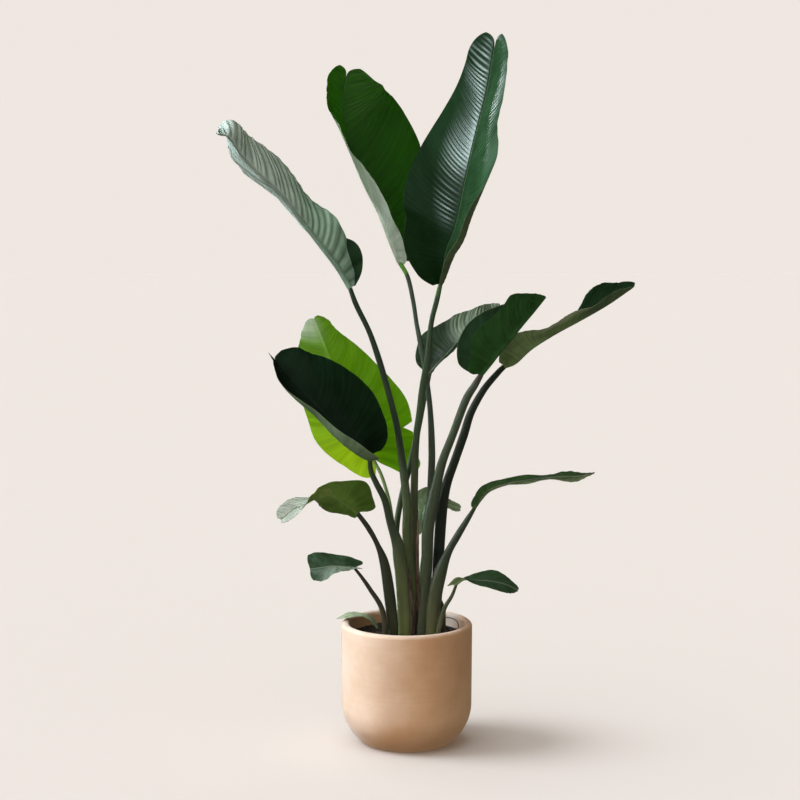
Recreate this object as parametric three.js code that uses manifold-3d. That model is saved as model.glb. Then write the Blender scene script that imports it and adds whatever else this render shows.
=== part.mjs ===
// Potted bird of paradise: fourteen leaves on sheathed stalks, standing in the soil of a round clay pot.
// Millimetres, +Z up. The origin is on the pot's axis, on its underside. The best side faces -Y.
import * as THREE from "three";
import { mergeVertices } from "three/addons/utils/BufferGeometryUtils.js";
import Module from "manifold-3d";

const wasm = await Module();
wasm.setup();

// Pot sizes: a straight side, a wide round corner and a flat foot
const POT_HEIGHT = 269;
const RIM_RADIUS = 146;
const SIDE_RADIUS = 145;
const CORNER_RADIUS = 106;
const CORNER_CENTRE_HEIGHT = 87;
const WALL = 18;
const POT_FLOOR = 20;
const POT_SIDES = 36;
const DRAIN_RADIUS = 7;
const DRAIN_CIRCLE = 50;
const DRAIN_COUNT = 4;

// Soil sizes
const SOIL_TOP = 239;
const SOIL_MOUND = 4;
const ROOT_DEPTH = 45;

// Clearances and thicknesses
const TOUCH_GAP = 0.3;
const BLADE_THICKNESS = 1.2;
const RIB_HALF_WIDTH = 5;
const DRY_THICKNESS = 1;
const DRY_CUPPING = 0.3;
const STALK_FLATNESS = 0.8;
const STALK_SIDES = 8;
const STEPS_PER_SPAN = 1.7;

// Share of a blade's length over which its base and its tip are rounded off
const BASE_ROUND = 0.05;
const TIP_ROUND = 0.08;

// Share of a blade's length over which the crack at its tip and the lobes at its base are formed
const END_LOBES = 0.1;

// The leaves, each with:
//   stalk    points from the soil to just under the blade, with girth the radius at each point
//   midrib   points from the blade's base to its tip
//   facing   directions that the upper face turns to, spread evenly from base to tip
//   sweep    degrees that the side veins lean forward, spread the same way
//   crack    depth of the narrow crack that the midrib leaves between two lobes at the tip
//   lobes    how far the base hangs back in a lobe on each side of the stalk
//   rib      height of the midrib under the blade at its base
//   left and right, seen with the upper face to the viewer and the tip up:
//     half   half width, fold   degrees up from flat at the midrib, curl   degrees turned from midrib to margin
//     wave   height, count and start of the margin's waves, tears   place, half length and depth share
const LEAVES = [
  {
    name: "top_right",
    stalk: [[16, 40, 232], [16, 36, 346], [16, 26, 472], [16, 12, 560], [20, -10, 678], [28, -20, 736],
      [34, -30, 796], [44, -40, 856], [52, -50, 936], [64, -58, 988]],
    girth: [12, 11, 10, 9, 8, 9, 8, 8, 6, 6, 5],
    midrib: [[72, -62, 1024], [84, -66, 1096], [104, -66, 1150], [126, -60, 1252], [148, -44, 1344],
      [172, -20, 1436], [189, 6, 1532]],
    facing: [[-45, -85, -20], [-45, -88, -20], [-40, -90, -20]],
    sweep: [-14, 4, 12, 18, 6],
    crack: 28,
    lobes: 0,
    rib: 6,
    left: {
      half: [36, 94, 120, 122, 106, 84, 68, 58, 52],
      fold: [60, 28, 26, 28, 30],
      curl: [10, 6, -4, -6, 8],
      wave: [2, 3.2, 0.45],
    },
    right: {
      half: [40, 80, 98, 110, 88, 58, 58, 50, 36],
      fold: [20, 10, 8, 12, 22, 24, 26, 26, 26],
      curl: [100, 110, 100, 60, 15, 0, 0, 0, 0],
      wave: [3, 2.6, 0.3],
    },
  },
  {
    name: "top_left",
    stalk: [[40, 58, 232], [48, 50, 398], [54, 38, 566], [56, 26, 652], [50, 12, 764], [32, 10, 880],
      [22, 14, 932], [14, 20, 984], [2, 26, 1036]],
    girth: [9, 9, 8, 8, 6, 6, 5, 5, 5, 5],
    midrib: [[-16, 30, 1068], [-36, 34, 1116], [-60, 40, 1176], [-94, 48, 1242], [-124, 58, 1314],
      [-140, 70, 1384], [-140, 84, 1442], [-134, 90, 1476]],
    facing: [[80, -60, 0], [75, -66, -10], [60, -80, -20], [10, -100, -20]],
    sweep: [-20, 6, 14, 20, 4],
    crack: 20,
    lobes: 0,
    rib: 6,
    left: {
      half: [50, 90, 108, 112, 106, 88, 60, 52, 44],
      fold: [50, 50, 50, 50, 48, 42, 32, 20, 10],
      curl: [10, 10],
      wave: [4, 3.5, 0],
    },
    right: {
      half: [50, 80, 122, 150, 152, 140, 118, 98, 62],
      fold: [50, 30, 25, 20, 10],
      curl: [20, 5, 5, 10, 10],
      wave: [1.5, 2.5, 0],
    },
  },
  {
    name: "far_left",
    stalk: [[8, 4, 240], [10, 4, 352], [0, 0, 464], [0, -6, 544], [-18, -6, 688], [-32, -6, 752],
      [-48, -8, 812], [-64, -10, 866], [-83, -14, 920], [-110, -18, 976]],
    girth: [13, 13, 10, 10, 8, 7, 7, 7, 6, 6, 5],
    midrib: [[-124, -20, 1014], [-152, -24, 1060], [-192, -30, 1112], [-232, -40, 1164], [-266, -56, 1208],
      [-310, -76, 1252], [-348, -100, 1292], [-374, -130, 1332], [-392, -138, 1342]],
    facing: [[13, 98, 10], [13, 98, 10]],
    sweep: [-10, 10, 14, 16, 10],
    crack: 0,
    lobes: 0,
    rib: 6,
    left: {
      half: [30, 80, 106, 104, 106, 92, 72, 54, 58],
      fold: [58, 62, 58, 67, 70, 57, 53, 60, 66],
      curl: [14, 14],
      wave: [3, 3, 0.2],
    },
    right: {
      half: [34, 98, 88, 92, 96, 94, 84, 60, 46],
      fold: [80, 80, 72, 66, 62, 62, 66, 70, 72],
      curl: [88, 92, 30, 20, 14, 10, 5, 5, 5],
      wave: [3, 2.5, 0],
    },
  },
  {
    name: "mid_left_front",
    stalk: [[-4, -30, 244], [-8, -34, 344], [-18, -40, 444], [-36, -46, 502], [-48, -54, 552],
      [-66, -64, 590], [-78, -74, 620]],
    girth: [15, 15, 14, 9, 8, 7, 6, 5],
    midrib: [[-80, -84, 652], [-106, -84, 672], [-144, -74, 706], [-188, -54, 752], [-236, -24, 796],
      [-272, 14, 832], [-292, 36, 852]],
    facing: [[35, -80, 45], [30, -85, 40], [30, -90, 30]],
    sweep: [-25, 6, 14, 18, 8],
    crack: 10,
    lobes: 0,
    rib: 5,
    left: {
      half: [56, 76, 78, 84, 88, 84, 70, 50, 36],
      fold: [5, 5, 8, 18, 22, 27, 36, 46, 60],
      curl: [135, 130, 105, 75, 60, 50, 40, 30, 20],
      wave: [2, 2.2, 0.5],
    },
    right: {
      half: [44, 85, 112, 114, 107, 98, 84, 66, 54],
      fold: [20, 15, 12, 10, 10],
      curl: [10, -5, -10, -5, 0],
      wave: [2, 2.6, 0],
    },
  },
  {
    name: "mid_left_back",
    stalk: [[-14, 0, 240], [-12, -2, 340], [-20, -6, 424], [-32, -8, 496], [-40, 10, 544], [-56, 36, 592],
      [-70, 52, 618]],
    girth: [8, 7, 7, 5, 4, 4, 4, 4],
    midrib: [[-78, 60, 636], [-94, 68, 666], [-120, 84, 724], [-148, 104, 784], [-174, 132, 848],
      [-198, 164, 900], [-212, 186, 932]],
    facing: [[-30, 90, 35], [-30, 90, 30], [-20, 90, 20]],
    sweep: [-40, -5, 10, 20, 10],
    crack: 8,
    lobes: 32,
    rib: 4,
    left: {
      half: [84, 112, 130, 120, 102, 78, 56, 38, 30],
      fold: [15, 12, 10, 8, 10],
      curl: [10, 0, 0, 0, 20],
      wave: [3, 3, 0],
      tears: [[0.17, 0.018, 0.18]],
    },
    right: {
      half: [28, 74, 102, 98, 92, 84, 68, 50, 36],
      fold: [15, 12, 10, 15, 20],
      curl: [10, 0, 0, 0, 20],
      wave: [3, 3, 0.4],
    },
  },
  {
    name: "mid_right_back",
    stalk: [[-8, 32, 232], [-12, 28, 332], [-24, 26, 420], [-22, 28, 488], [-8, 34, 560], [4, 40, 604],
      [20, 46, 672], [32, 50, 728], [42, 52, 770]],
    girth: [9, 9, 8, 7, 7, 7, 7, 6, 4, 4],
    midrib: [[52, 52, 822], [66, 57, 840], [90, 68, 862], [118, 86, 892], [150, 112, 922], [186, 140, 948],
      [214, 162, 966]],
    facing: [[-50, -60, 62], [-45, -65, 60], [-40, -70, 55]],
    sweep: [-14, -4, 14, 22, 16],
    crack: 0,
    lobes: 0,
    rib: 4,
    left: {
      half: [28, 62, 78, 70, 56, 42, 30, 20, 10],
      fold: [20, 20, 20, 30, 40],
      curl: [0, 0],
      wave: [3, 4, 0],
    },
    right: {
      half: [24, 56, 74, 68, 56, 42, 30, 20, 10],
      fold: [36, 40, 44, 40, 36],
      curl: [0, 0],
      wave: [2, 3, 0],
    },
  },
  {
    name: "mid_right_folded",
    stalk: [[32, -16, 242], [40, -18, 324], [44, -20, 400], [46, -22, 480], [54, -24, 532], [64, -26, 578],
      [78, -28, 634], [100, -30, 692], [128, -32, 768], [148, -34, 802]],
    girth: [13, 11, 13, 14, 14, 12, 10, 9, 9, 8, 6],
    midrib: [[162, -36, 826], [180, -40, 848], [200, -46, 874], [224, -56, 904], [248, -64, 934],
      [276, -76, 968], [298, -88, 996]],
    facing: [[-76, -10, 65], [-76, -10, 65], [-70, -10, 70]],
    sweep: [-30, 0, 12, 18, 26],
    crack: 0,
    lobes: 0,
    rib: 5,
    left: {
      half: [40, 78, 94, 88, 74, 58, 42, 24, 6],
      fold: [60, 60],
      curl: [40, 20, 10, 0, 0],
      wave: [3, 3, 0],
    },
    right: {
      half: [30, 52, 78, 82, 74, 72, 78, 46, 8],
      fold: [50, 55, 60, 60, 60],
      curl: [20, 15, 10, 0, 0],
      wave: [2, 3, 0.3],
    },
  },
  {
    name: "far_right",
    stalk: [[62, 20, 240], [68, 18, 360], [72, 16, 440], [78, 14, 524], [88, 14, 576], [106, 16, 628],
      [126, 18, 686], [142, 20, 736], [170, 24, 786], [200, 28, 822]],
    girth: [14, 13, 13, 13, 11, 10, 10, 9, 8, 7, 6],
    midrib: [[216, 30, 838], [240, 26, 848], [274, 14, 880], [324, -10, 914], [376, -32, 944],
      [432, -56, 978], [482, -78, 1014]],
    facing: [[-50, 15, 85], [-45, 15, 88], [-40, 15, 90]],
    sweep: [-20, 0, 12, 16, 10],
    crack: 10,
    lobes: 0,
    rib: 5,
    left: {
      half: [26, 66, 84, 76, 58, 66, 64, 46, 24],
      fold: [40, 40, 22, 14, 20, 46, 50, 50, 46],
      curl: [0, 0],
      wave: [3, 3, 0],
    },
    right: {
      half: [30, 64, 82, 80, 66, 62, 56, 42, 30],
      fold: [45, 45, 27, 16, 14, 14, 12, 12, 14],
      curl: [0, 0],
      wave: [4, 3.4, 0.3],
    },
  },
  {
    name: "low_right",
    stalk: [[54, -42, 240], [60, -50, 328], [72, -56, 388], [90, -58, 436], [112, -60, 476],
      [134, -66, 514]],
    girth: [15, 16, 15, 9, 8, 6, 4],
    midrib: [[148, -70, 538], [160, -74, 556], [178, -80, 576], [212, -92, 592], [260, -108, 604],
      [312, -124, 612], [360, -140, 616], [398, -150, 624]],
    facing: [[-30, -20, 90], [-16, -20, 95], [-6, -12, 100], [0, -12, 100], [0, -18, 100], [0, -25, 95]],
    sweep: [-30, 0, 12, 18, 20],
    crack: 0,
    lobes: 0,
    rib: 3.5,
    left: {
      half: [24, 42, 44, 38, 38, 40, 34, 26, 10],
      fold: [10, 5, 0, 0, 0],
      curl: [0, 0],
      wave: [3, 3, 0],
    },
    right: {
      half: [24, 44, 44, 40, 40, 40, 38, 28, 10],
      fold: [20, 10, 5, 5, 0],
      curl: [0, 0],
      wave: [3, 3, 0.3],
    },
  },
  {
    name: "low_left",
    stalk: [[-28, -52, 246], [-36, -54, 328], [-48, -58, 408], [-64, -62, 454], [-84, -66, 492]],
    girth: [11, 13, 11, 6, 6, 5],
    midrib: [[-108, -70, 526], [-140, -84, 552], [-168, -94, 568], [-194, -100, 564], [-218, -104, 552],
      [-246, -106, 538], [-272, -104, 516]],
    facing: [[10, 85, 50], [10, 85, 50], [10, 70, 70], [0, 10, 100], [-20, -70, 70], [-30, -80, 50]],
    sweep: [-45, -10, 10, 20, 26],
    crack: 0,
    lobes: 0,
    rib: 3.5,
    left: {
      half: [30, 50, 70, 42, 28, 26, 24, 20, 12],
      fold: [10, 10],
      curl: [10, 10],
      wave: [2, 2, 0.3],
    },
    right: {
      half: [14, 32, 56, 66, 56, 36, 28, 26, 16],
      fold: [10, 10],
      curl: [10, 10],
      wave: [2, 2, 0],
    },
  },
  {
    name: "small_left",
    stalk: [[-46, -64, 242], [-54, -66, 310], [-80, -70, 356], [-98, -76, 384]],
    girth: [6, 6, 5, 4, 3],
    midrib: [[-116, -80, 408], [-136, -88, 411], [-164, -96, 414], [-186, -104, 412], [-210, -110, 410]],
    facing: [[10, -50, 80], [-10, -75, 65], [-20, -85, 50]],
    sweep: [-60, -10, 10, 10, 10],
    crack: 0,
    lobes: 8,
    rib: 2.5,
    left: {
      half: [10, 14, 28, 34, 30],
      fold: [30, 10, 10],
      curl: [0, 0],
      wave: [3, 2, 0.3],
    },
    right: {
      half: [14, 26, 30, 36, 30],
      fold: [20, 10, 10],
      curl: [0, 0],
      wave: [4, 2, 0],
    },
  },
  {
    name: "small_right",
    stalk: [[66, -62, 242], [80, -70, 308], [98, -80, 344]],
    girth: [6, 5, 4, 3],
    midrib: [[108, -90, 372], [124, -96, 384], [148, -104, 384], [180, -112, 384], [212, -118, 378],
      [240, -122, 366]],
    facing: [[0, 30, 95], [0, -20, 95], [0, -60, 80], [20, -70, 70], [30, -70, 60]],
    sweep: [-60, -20, 10, 20, 20],
    crack: 0,
    lobes: 0,
    rib: 2.5,
    left: {
      half: [14, 9, 18, 28, 22, 14, 5],
      fold: [30, 20, 10, 10],
      curl: [0, 0],
      wave: [2, 3, 0.3],
    },
    right: {
      half: [14, 18, 22, 26, 28, 20, 6],
      fold: [30, 20, 10, 10],
      curl: [0, 0],
      wave: [2, 2, 0],
    },
  },
  {
    name: "small_back",
    stalk: [[24, 84, 230], [32, 86, 344], [42, 90, 430]],
    girth: [7, 7, 4, 3],
    midrib: [[40, 92, 468], [36, 94, 500], [52, 98, 524], [80, 106, 520], [122, 116, 504]],
    facing: [[-50, -70, 30], [-40, -80, 40], [20, -50, 85], [40, -40, 80]],
    sweep: [-40, 0, 12, 18, 26],
    crack: 0,
    lobes: 8,
    rib: 2.5,
    left: {
      half: [20, 34, 34, 22, 8],
      fold: [20, 10, 10],
      curl: [0, 0],
      wave: [3, 2, 0.3],
    },
    right: {
      half: [14, 20, 24, 20, 8],
      fold: [20, 10, 10],
      curl: [0, 0],
      wave: [3, 2, 0],
    },
  },
  {
    name: "over_rim",
    stalk: [[-58, 40, 228]],
    girth: [4, 3],
    midrib: [[-68, 43, 246], [-84, 40, 268], [-104, 34, 277], [-128, 24, 279], [-156, 14, 272]],
    facing: [[40, -20, 90], [10, -10, 100], [0, 0, 100], [-20, 0, 100]],
    sweep: [-40, 0, 12, 18, 26],
    crack: 0,
    lobes: 0,
    rib: 1.5,
    left: {
      half: [8, 20, 22, 18, 6],
      fold: [10, 0, 0],
      curl: [0, 0],
      wave: [1, 2, 0.3],
    },
    right: {
      half: [8, 18, 20, 16, 6],
      fold: [10, 0, 0],
      curl: [0, 0],
      wave: [1, 2, 0],
    },
  },
];

// Old pieces that stand among the stalks: two dried sheath edges, a cut stalk and a thin dry stem
const DRY_SHEATHS = [
  {
    name: "dry_sheath_left",
    route: [[13, -15, 200], [14, -15, 256], [12, -16, 322], [2, -17, 386], [-9, -20, 443]],
    width: [7, 8, 7, 6, 2],
    facing: [[20, -100, 0], [-20, -100, 0]],
  },
  {
    name: "dry_sheath_middle",
    route: [[24, 4, 200], [25, 4, 300], [24, 2, 400], [25, 0, 500]],
    width: [9, 10, 8, 3],
    facing: [[0, -100, 0], [0, -100, 0]],
  },
];
const CUT_STALK = { route: [[78, -8, 194], [80, -8, 250], [80, -8, 296], [77, -8, 318]], girth: [6, 6.5, 6, 2.5] };
const DRY_STEM = { route: [[84, 54, 232], [86, 54, 262], [100, 42, 267], [113, 26, 263], [117, 16, 250]], girth: 1.2 };

// A value or a point that runs smoothly through a list, for a place between 0 and 1
function through(list) {
  const points = list.map((entry) => (Array.isArray(entry) ? new THREE.Vector3(...entry)
    : new THREE.Vector3(entry, 0, 0)));
  return new THREE.CatmullRomCurve3(points, false, "catmullrom", 0.5);
}

function valueAt(list, place) {
  return through(list).getPoint(place).x;
}

// Solid and mesh conversions
function solidFrom(geometry) {
  const bare = geometry.clone();
  bare.deleteAttribute("normal");
  bare.deleteAttribute("uv");
  const merged = mergeVertices(bare, 1e-4);
  return new wasm.Manifold(new wasm.Mesh({
    numProp: 3,
    vertProperties: Float32Array.from(merged.attributes.position.array),
    triVerts: Uint32Array.from(merged.index.array),
  }));
}

function geometryFrom(solid) {
  const mesh = solid.getMesh();
  const geometry = new THREE.BufferGeometry();
  geometry.setAttribute("position", new THREE.BufferAttribute(mesh.vertProperties, 3));
  geometry.setIndex(new THREE.BufferAttribute(mesh.triVerts, 1));
  geometry.computeVertexNormals();
  return geometry;
}

// The biggest body of a cut solid, so that no loose scrap is left
function mainBody(solid) {
  return solid.decompose().sort((a, b) => b.volume() - a.volume())[0];
}

// A cylinder bent along a route, with an oval section whose radius follows the girth list
function bentTube(route, girth, grow = 0, sides = STALK_SIDES) {
  const curve = through(route);
  const steps = Math.round((route.length - 1) * STEPS_PER_SPAN) + 2;
  const geometry = new THREE.CylinderGeometry(1, 1, 1, sides, steps);
  const position = geometry.attributes.position;
  const depthAxis = new THREE.Vector3(0, 1, 0);
  for (let i = 0; i < position.count; i += 1) {
    const place = position.getY(i) + 0.5;
    const tangent = curve.getTangentAt(place);
    const wide = new THREE.Vector3().crossVectors(tangent, depthAxis).normalize();
    const deep = new THREE.Vector3().crossVectors(wide, tangent);
    const radius = (Array.isArray(girth) ? valueAt(girth, curve.getUtoTmapping(place)) : girth) + grow;
    const point = curve.getPointAt(place)
      .addScaledVector(wide, position.getX(i) * radius)
      .addScaledVector(deep, position.getZ(i) * (radius - grow) * STALK_FLATNESS + position.getZ(i) * grow)
      .addScaledVector(tangent, Math.sign(place - 0.5) * grow * (place === 0 || place === 1 ? 1 : 0));
    position.setXYZ(i, point.x, point.y, point.z);
  }
  return solidFrom(geometry);
}

// A closed sheet: two faces split into triangles alike, with a wall round the margin.
// topAt and underAt give the point of each face for a row and a column.
function closedSheet(rows, columns, topAt, underAt) {
  const positions = [];
  const index = [];
  for (const pointAt of [topAt, underAt]) {
    for (const u of rows) {
      for (const v of columns) {
        positions.push(...pointAt(u, v).toArray());
      }
    }
  }
  const across = columns.length;
  const faceSize = rows.length * across;
  const top = (row, column) => row * across + column;
  const under = (row, column) => faceSize + top(row, column);
  for (let row = 0; row < rows.length - 1; row += 1) {
    for (let column = 0; column < across - 1; column += 1) {
      const corners = [[row, column], [row, column + 1], [row + 1, column + 1], [row + 1, column]];
      const [a, b, c, d] = corners.map((corner) => top(...corner));
      index.push(a, b, c, a, c, d);
      const [e, f, g, h] = corners.map((corner) => under(...corner));
      index.push(e, g, f, e, h, g);
    }
  }
  const lastRow = rows.length - 1;
  const lastColumn = across - 1;
  const wall = (from, to) => {
    index.push(top(...to), top(...from), under(...from), top(...to), under(...from), under(...to));
  };
  for (let column = 0; column < lastColumn; column += 1) {
    wall([0, column], [0, column + 1]);
    wall([lastRow, column + 1], [lastRow, column]);
  }
  for (let row = 0; row < lastRow; row += 1) {
    wall([row + 1, 0], [row, 0]);
    wall([row, lastColumn], [row + 1, lastColumn]);
  }
  const geometry = new THREE.BufferGeometry();
  geometry.setAttribute("position", new THREE.Float32BufferAttribute(positions, 3));
  geometry.setIndex(index);
  return solidFrom(geometry);
}

// The blade's own directions at a place along the midrib: forward, out of the upper face and to the right
function bladeFrame(leaf, u) {
  const curve = through(leaf.midrib);
  const forward = curve.getTangentAt(u);
  const up = through(leaf.facing).getPoint(u);
  up.addScaledVector(forward, -up.dot(forward)).normalize();
  const right = new THREE.Vector3().crossVectors(forward, up);
  return { origin: curve.getPointAt(u), forward, up, right };
}

// How far the half width is drawn in where the base and the tip are rounded
function endRound(u) {
  const base = Math.max(1 - u / BASE_ROUND, 0);
  const tip = Math.max((u - 1 + TIP_ROUND) / TIP_ROUND, 0);
  return Math.sqrt(1 - 0.7 * base * base) * Math.sqrt(1 - 0.8 * tip * tip);
}

function tearDepth(tears, u) {
  return tears.reduce((left, [place, reach, depth]) => (
    left * (1 - depth * Math.max(1 - Math.abs(u - place) / reach, 0))), 1);
}

// How far a point is moved towards the tip. It grows towards the margin, as the side veins lean forward.
// At both ends a part of it is reached close to the midrib, which leaves a round lobe on each side.
function leanAt(leaf, u, share, width) {
  const sweep = Math.tan(THREE.MathUtils.degToRad(valueAt(leaf.sweep, u)));
  const tip = Math.max((u - 1 + END_LOBES) / END_LOBES, 0);
  const base = Math.max(1 - u / END_LOBES, 0);
  const lobe = leaf.crack * tip - leaf.lobes * base;
  return sweep * width * share * (0.3 + 0.7 * share) + lobe * (2 * Math.sqrt(share) - share);
}

// A point of the blade's middle surface and the direction out of its upper face there.
// u runs from base to tip, v from -1 at the left margin over 0 at the midrib to 1 at the right margin.
function bladePoint(leaf, u, v) {
  const { origin, forward, up, right } = bladeFrame(leaf, u);
  if (v === 0) {
    return { point: origin, out: up };
  }
  const side = Math.sign(v);
  const share = Math.abs(v);
  const half = side < 0 ? leaf.left : leaf.right;
  const width = Math.max(valueAt(half.half, u), 3) * endRound(u) * tearDepth(half.tears ?? [], u);
  const fold = THREE.MathUtils.degToRad(valueAt(half.fold, u));
  const curl = THREE.MathUtils.degToRad(valueAt(half.curl, u));
  const bend = (Math.abs(curl) < 1e-4 ? 1e-4 : curl) * share;
  const across = width * share * (Math.sin(fold + bend) - Math.sin(fold)) / bend;
  const rise = width * share * (Math.cos(fold) - Math.cos(fold + bend)) / bend;
  const out = new THREE.Vector3()
    .addScaledVector(right, -side * Math.sin(fold + bend))
    .addScaledVector(up, Math.cos(fold + bend));
  const [height, count, start] = half.wave;
  const wave = height * share * share * Math.sin(2 * Math.PI * (count * u + start)) * Math.min(u * 6, 1);
  const point = origin
    .addScaledVector(right, side * across)
    .addScaledVector(up, rise)
    .addScaledVector(forward, leanAt(leaf, u, share, width))
    .addScaledVector(out, wave);
  return { point, out };
}

// Rows lie closer together at both ends, and a tear gets rows at its ends and its bottom
function bladeRows(leaf, count) {
  const rows = Array.from({ length: count + 1 }, (_, i) => {
    const t = i / count;
    return 0.6 * t + 0.4 * (0.5 - 0.5 * Math.cos(Math.PI * t));
  });
  for (const half of [leaf.left, leaf.right]) {
    for (const [place, reach] of half.tears ?? []) {
      rows.push(place - reach, place, place + reach);
    }
  }
  return rows.sort((a, b) => a - b).filter((u, i, all) => i === 0 || u - all[i - 1] > 1e-3);
}

function bladeSolid(leaf) {
  const big = leaf.rib > 3;
  const thickness = BLADE_THICKNESS / 2;
  const ribShare = Math.min(RIB_HALF_WIDTH / Math.max(...leaf.left.half), 0.16);
  const inner = big ? [0.4, 0.7] : [0.55];
  const halfColumns = [ribShare, ...inner, 1];
  const columns = [...halfColumns.map((v) => -v).reverse(), 0, ...halfColumns];
  const rows = bladeRows(leaf, big ? 17 : 11);
  const creaseRise = (u) => {
    const fold = (valueAt(leaf.left.fold, u) + valueAt(leaf.right.fold, u)) / 2;
    return thickness / Math.max(Math.cos(THREE.MathUtils.degToRad(fold)), 0.3);
  };
  const topAt = (u, v) => {
    const { point, out } = bladePoint(leaf, u, v);
    return point.addScaledVector(out, v === 0 ? creaseRise(u) : thickness);
  };
  const underAt = (u, v) => {
    const { point, out } = bladePoint(leaf, u, v);
    return point.addScaledVector(out, -thickness - (v === 0 ? leaf.rib * (1 - u) : 0));
  };
  return closedSheet(rows, columns, topAt, underAt);
}

// The stalk runs from its root in the soil to just short of the blade's base
function stalkRoute(leaf) {
  const [x, y] = leaf.stalk[0];
  const beforeLast = new THREE.Vector3(...leaf.stalk.at(-1));
  const base = new THREE.Vector3(...leaf.midrib[0]);
  const end = base.clone().addScaledVector(base.clone().sub(beforeLast).normalize(), -2 * TOUCH_GAP);
  return [[x, y, SOIL_TOP - ROOT_DEPTH], ...leaf.stalk, end.toArray()];
}

function stalkSolid(leaf, grow = 0) {
  return bentTube(stalkRoute(leaf), [leaf.girth[0], ...leaf.girth], grow);
}

// Cuts what is in the way, grown by the touching gap, out of a solid that it would cross
function clearOf(solid, neighbours) {
  let cut = solid;
  for (const neighbour of neighbours) {
    cut = cut.subtract(neighbour);
  }
  return mainBody(cut);
}

// Half section of the pot from the middle of its underside, up the outside and back down the inside
function potProfile() {
  const centreRadius = SIDE_RADIUS - CORNER_RADIUS;
  const footRadius = centreRadius + Math.sqrt(CORNER_RADIUS ** 2 - CORNER_CENTRE_HEIGHT ** 2);
  const profile = [new THREE.Vector2(0, 0), new THREE.Vector2(footRadius, 0)];
  const startAngle = Math.asin(-CORNER_CENTRE_HEIGHT / CORNER_RADIUS);
  const arcSteps = 5;
  for (let i = 1; i <= arcSteps; i += 1) {
    const angle = startAngle * (1 - i / arcSteps);
    profile.push(new THREE.Vector2(
      centreRadius + CORNER_RADIUS * Math.cos(angle),
      CORNER_CENTRE_HEIGHT + CORNER_RADIUS * Math.sin(angle),
    ));
  }
  const lip = WALL / 2;
  const lipSteps = 6;
  for (let i = 0; i <= lipSteps; i += 1) {
    const angle = (Math.PI * i) / lipSteps;
    profile.push(new THREE.Vector2(
      RIM_RADIUS - lip + lip * Math.cos(angle),
      POT_HEIGHT - lip + lip * Math.sin(angle),
    ));
  }
  profile.push(...insideProfile(0));
  profile.push(new THREE.Vector2(0, POT_FLOOR));
  return profile;
}

// The inside wall from below the lip down to the floor, drawn in by a gap
function insideProfile(gap) {
  const corner = CORNER_RADIUS - WALL - gap;
  const centreRadius = SIDE_RADIUS - CORNER_RADIUS;
  const floor = POT_FLOOR + gap;
  const endAngle = Math.asin((floor - CORNER_CENTRE_HEIGHT) / corner);
  const steps = 4;
  return Array.from({ length: steps + 1 }, (_, i) => {
    const angle = (endAngle * i) / steps;
    return new THREE.Vector2(
      centreRadius + corner * Math.cos(angle),
      CORNER_CENTRE_HEIGHT + corner * Math.sin(angle),
    );
  });
}

// Lathe geometry turns round Y, so it is stood up to turn round Z
function turned(profile) {
  return solidFrom(new THREE.LatheGeometry(profile, POT_SIDES).rotateX(Math.PI / 2));
}

function potSolid() {
  let pot = turned(potProfile());
  for (let i = 0; i < DRAIN_COUNT; i += 1) {
    const angle = (2 * Math.PI * (i + 0.5)) / DRAIN_COUNT;
    const drain = new THREE.CylinderGeometry(DRAIN_RADIUS, DRAIN_RADIUS, 3 * POT_FLOOR, 16)
      .rotateX(Math.PI / 2)
      .translate(DRAIN_CIRCLE * Math.cos(angle), DRAIN_CIRCLE * Math.sin(angle), 0);
    pot = pot.subtract(solidFrom(drain));
  }
  return pot;
}

// Soil that fills the pot, a little higher in the middle, with a plain hole for each thing that stands in it
function soilSolid(standing) {
  const inside = insideProfile(TOUCH_GAP);
  const wallRadius = inside[0].x;
  const floorRadius = inside.at(-1).x;
  const rings = [0, 0.6, 0.9].map((share) => new THREE.Vector2(
    wallRadius * share,
    SOIL_TOP + SOIL_MOUND * (1 - share * share),
  ));
  const profile = [
    new THREE.Vector2(0, POT_FLOOR + TOUCH_GAP),
    new THREE.Vector2(floorRadius, POT_FLOOR + TOUCH_GAP),
    ...inside.reverse().slice(1),
    new THREE.Vector2(wallRadius, SOIL_TOP - 2),
    ...rings.reverse(),
  ];
  return clearOf(turned(profile), standing);
}

function drySheathSolid(sheath, grow = 0) {
  const curve = through(sheath.route);
  const rows = [0, 0.12, 0.25, 0.38, 0.5, 0.62, 0.75, 0.88, 1];
  const columns = [-1, -0.4, 0.4, 1];
  const faceAt = (side) => (u, v) => {
    const forward = curve.getTangentAt(u);
    const up = through(sheath.facing).getPoint(u);
    up.addScaledVector(forward, -up.dot(forward)).normalize();
    const right = new THREE.Vector3().crossVectors(forward, up);
    const halfWidth = valueAt(sheath.width, u) / 2;
    return curve.getPointAt(u)
      .addScaledVector(right, v * (halfWidth + grow))
      .addScaledVector(up, -v * v * halfWidth * DRY_CUPPING + side * (DRY_THICKNESS / 2 + 1.5 * grow))
      .addScaledVector(forward, u === 0 ? -grow : 0);
  };
  return closedSheet(rows, columns, faceAt(1), faceAt(-1));
}

// Materials
const clay = { color: 0xd9a981, roughness: 0.9, metalness: 0 };
const earth = { color: 0x33261c, roughness: 1, metalness: 0 };
const leafGreen = { color: 0x2f5a2c, roughness: 0.4, metalness: 0 };
const stalkGreen = { color: 0x44573a, roughness: 0.55, metalness: 0 };
const driedBrown = { color: 0x8a5f48, roughness: 0.9, metalness: 0 };

const plant = new THREE.Group();

function addPiece(name, solid, look) {
  const mesh = new THREE.Mesh(geometryFrom(solid), new THREE.MeshStandardMaterial(look));
  mesh.name = name;
  plant.add(mesh);
}

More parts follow.
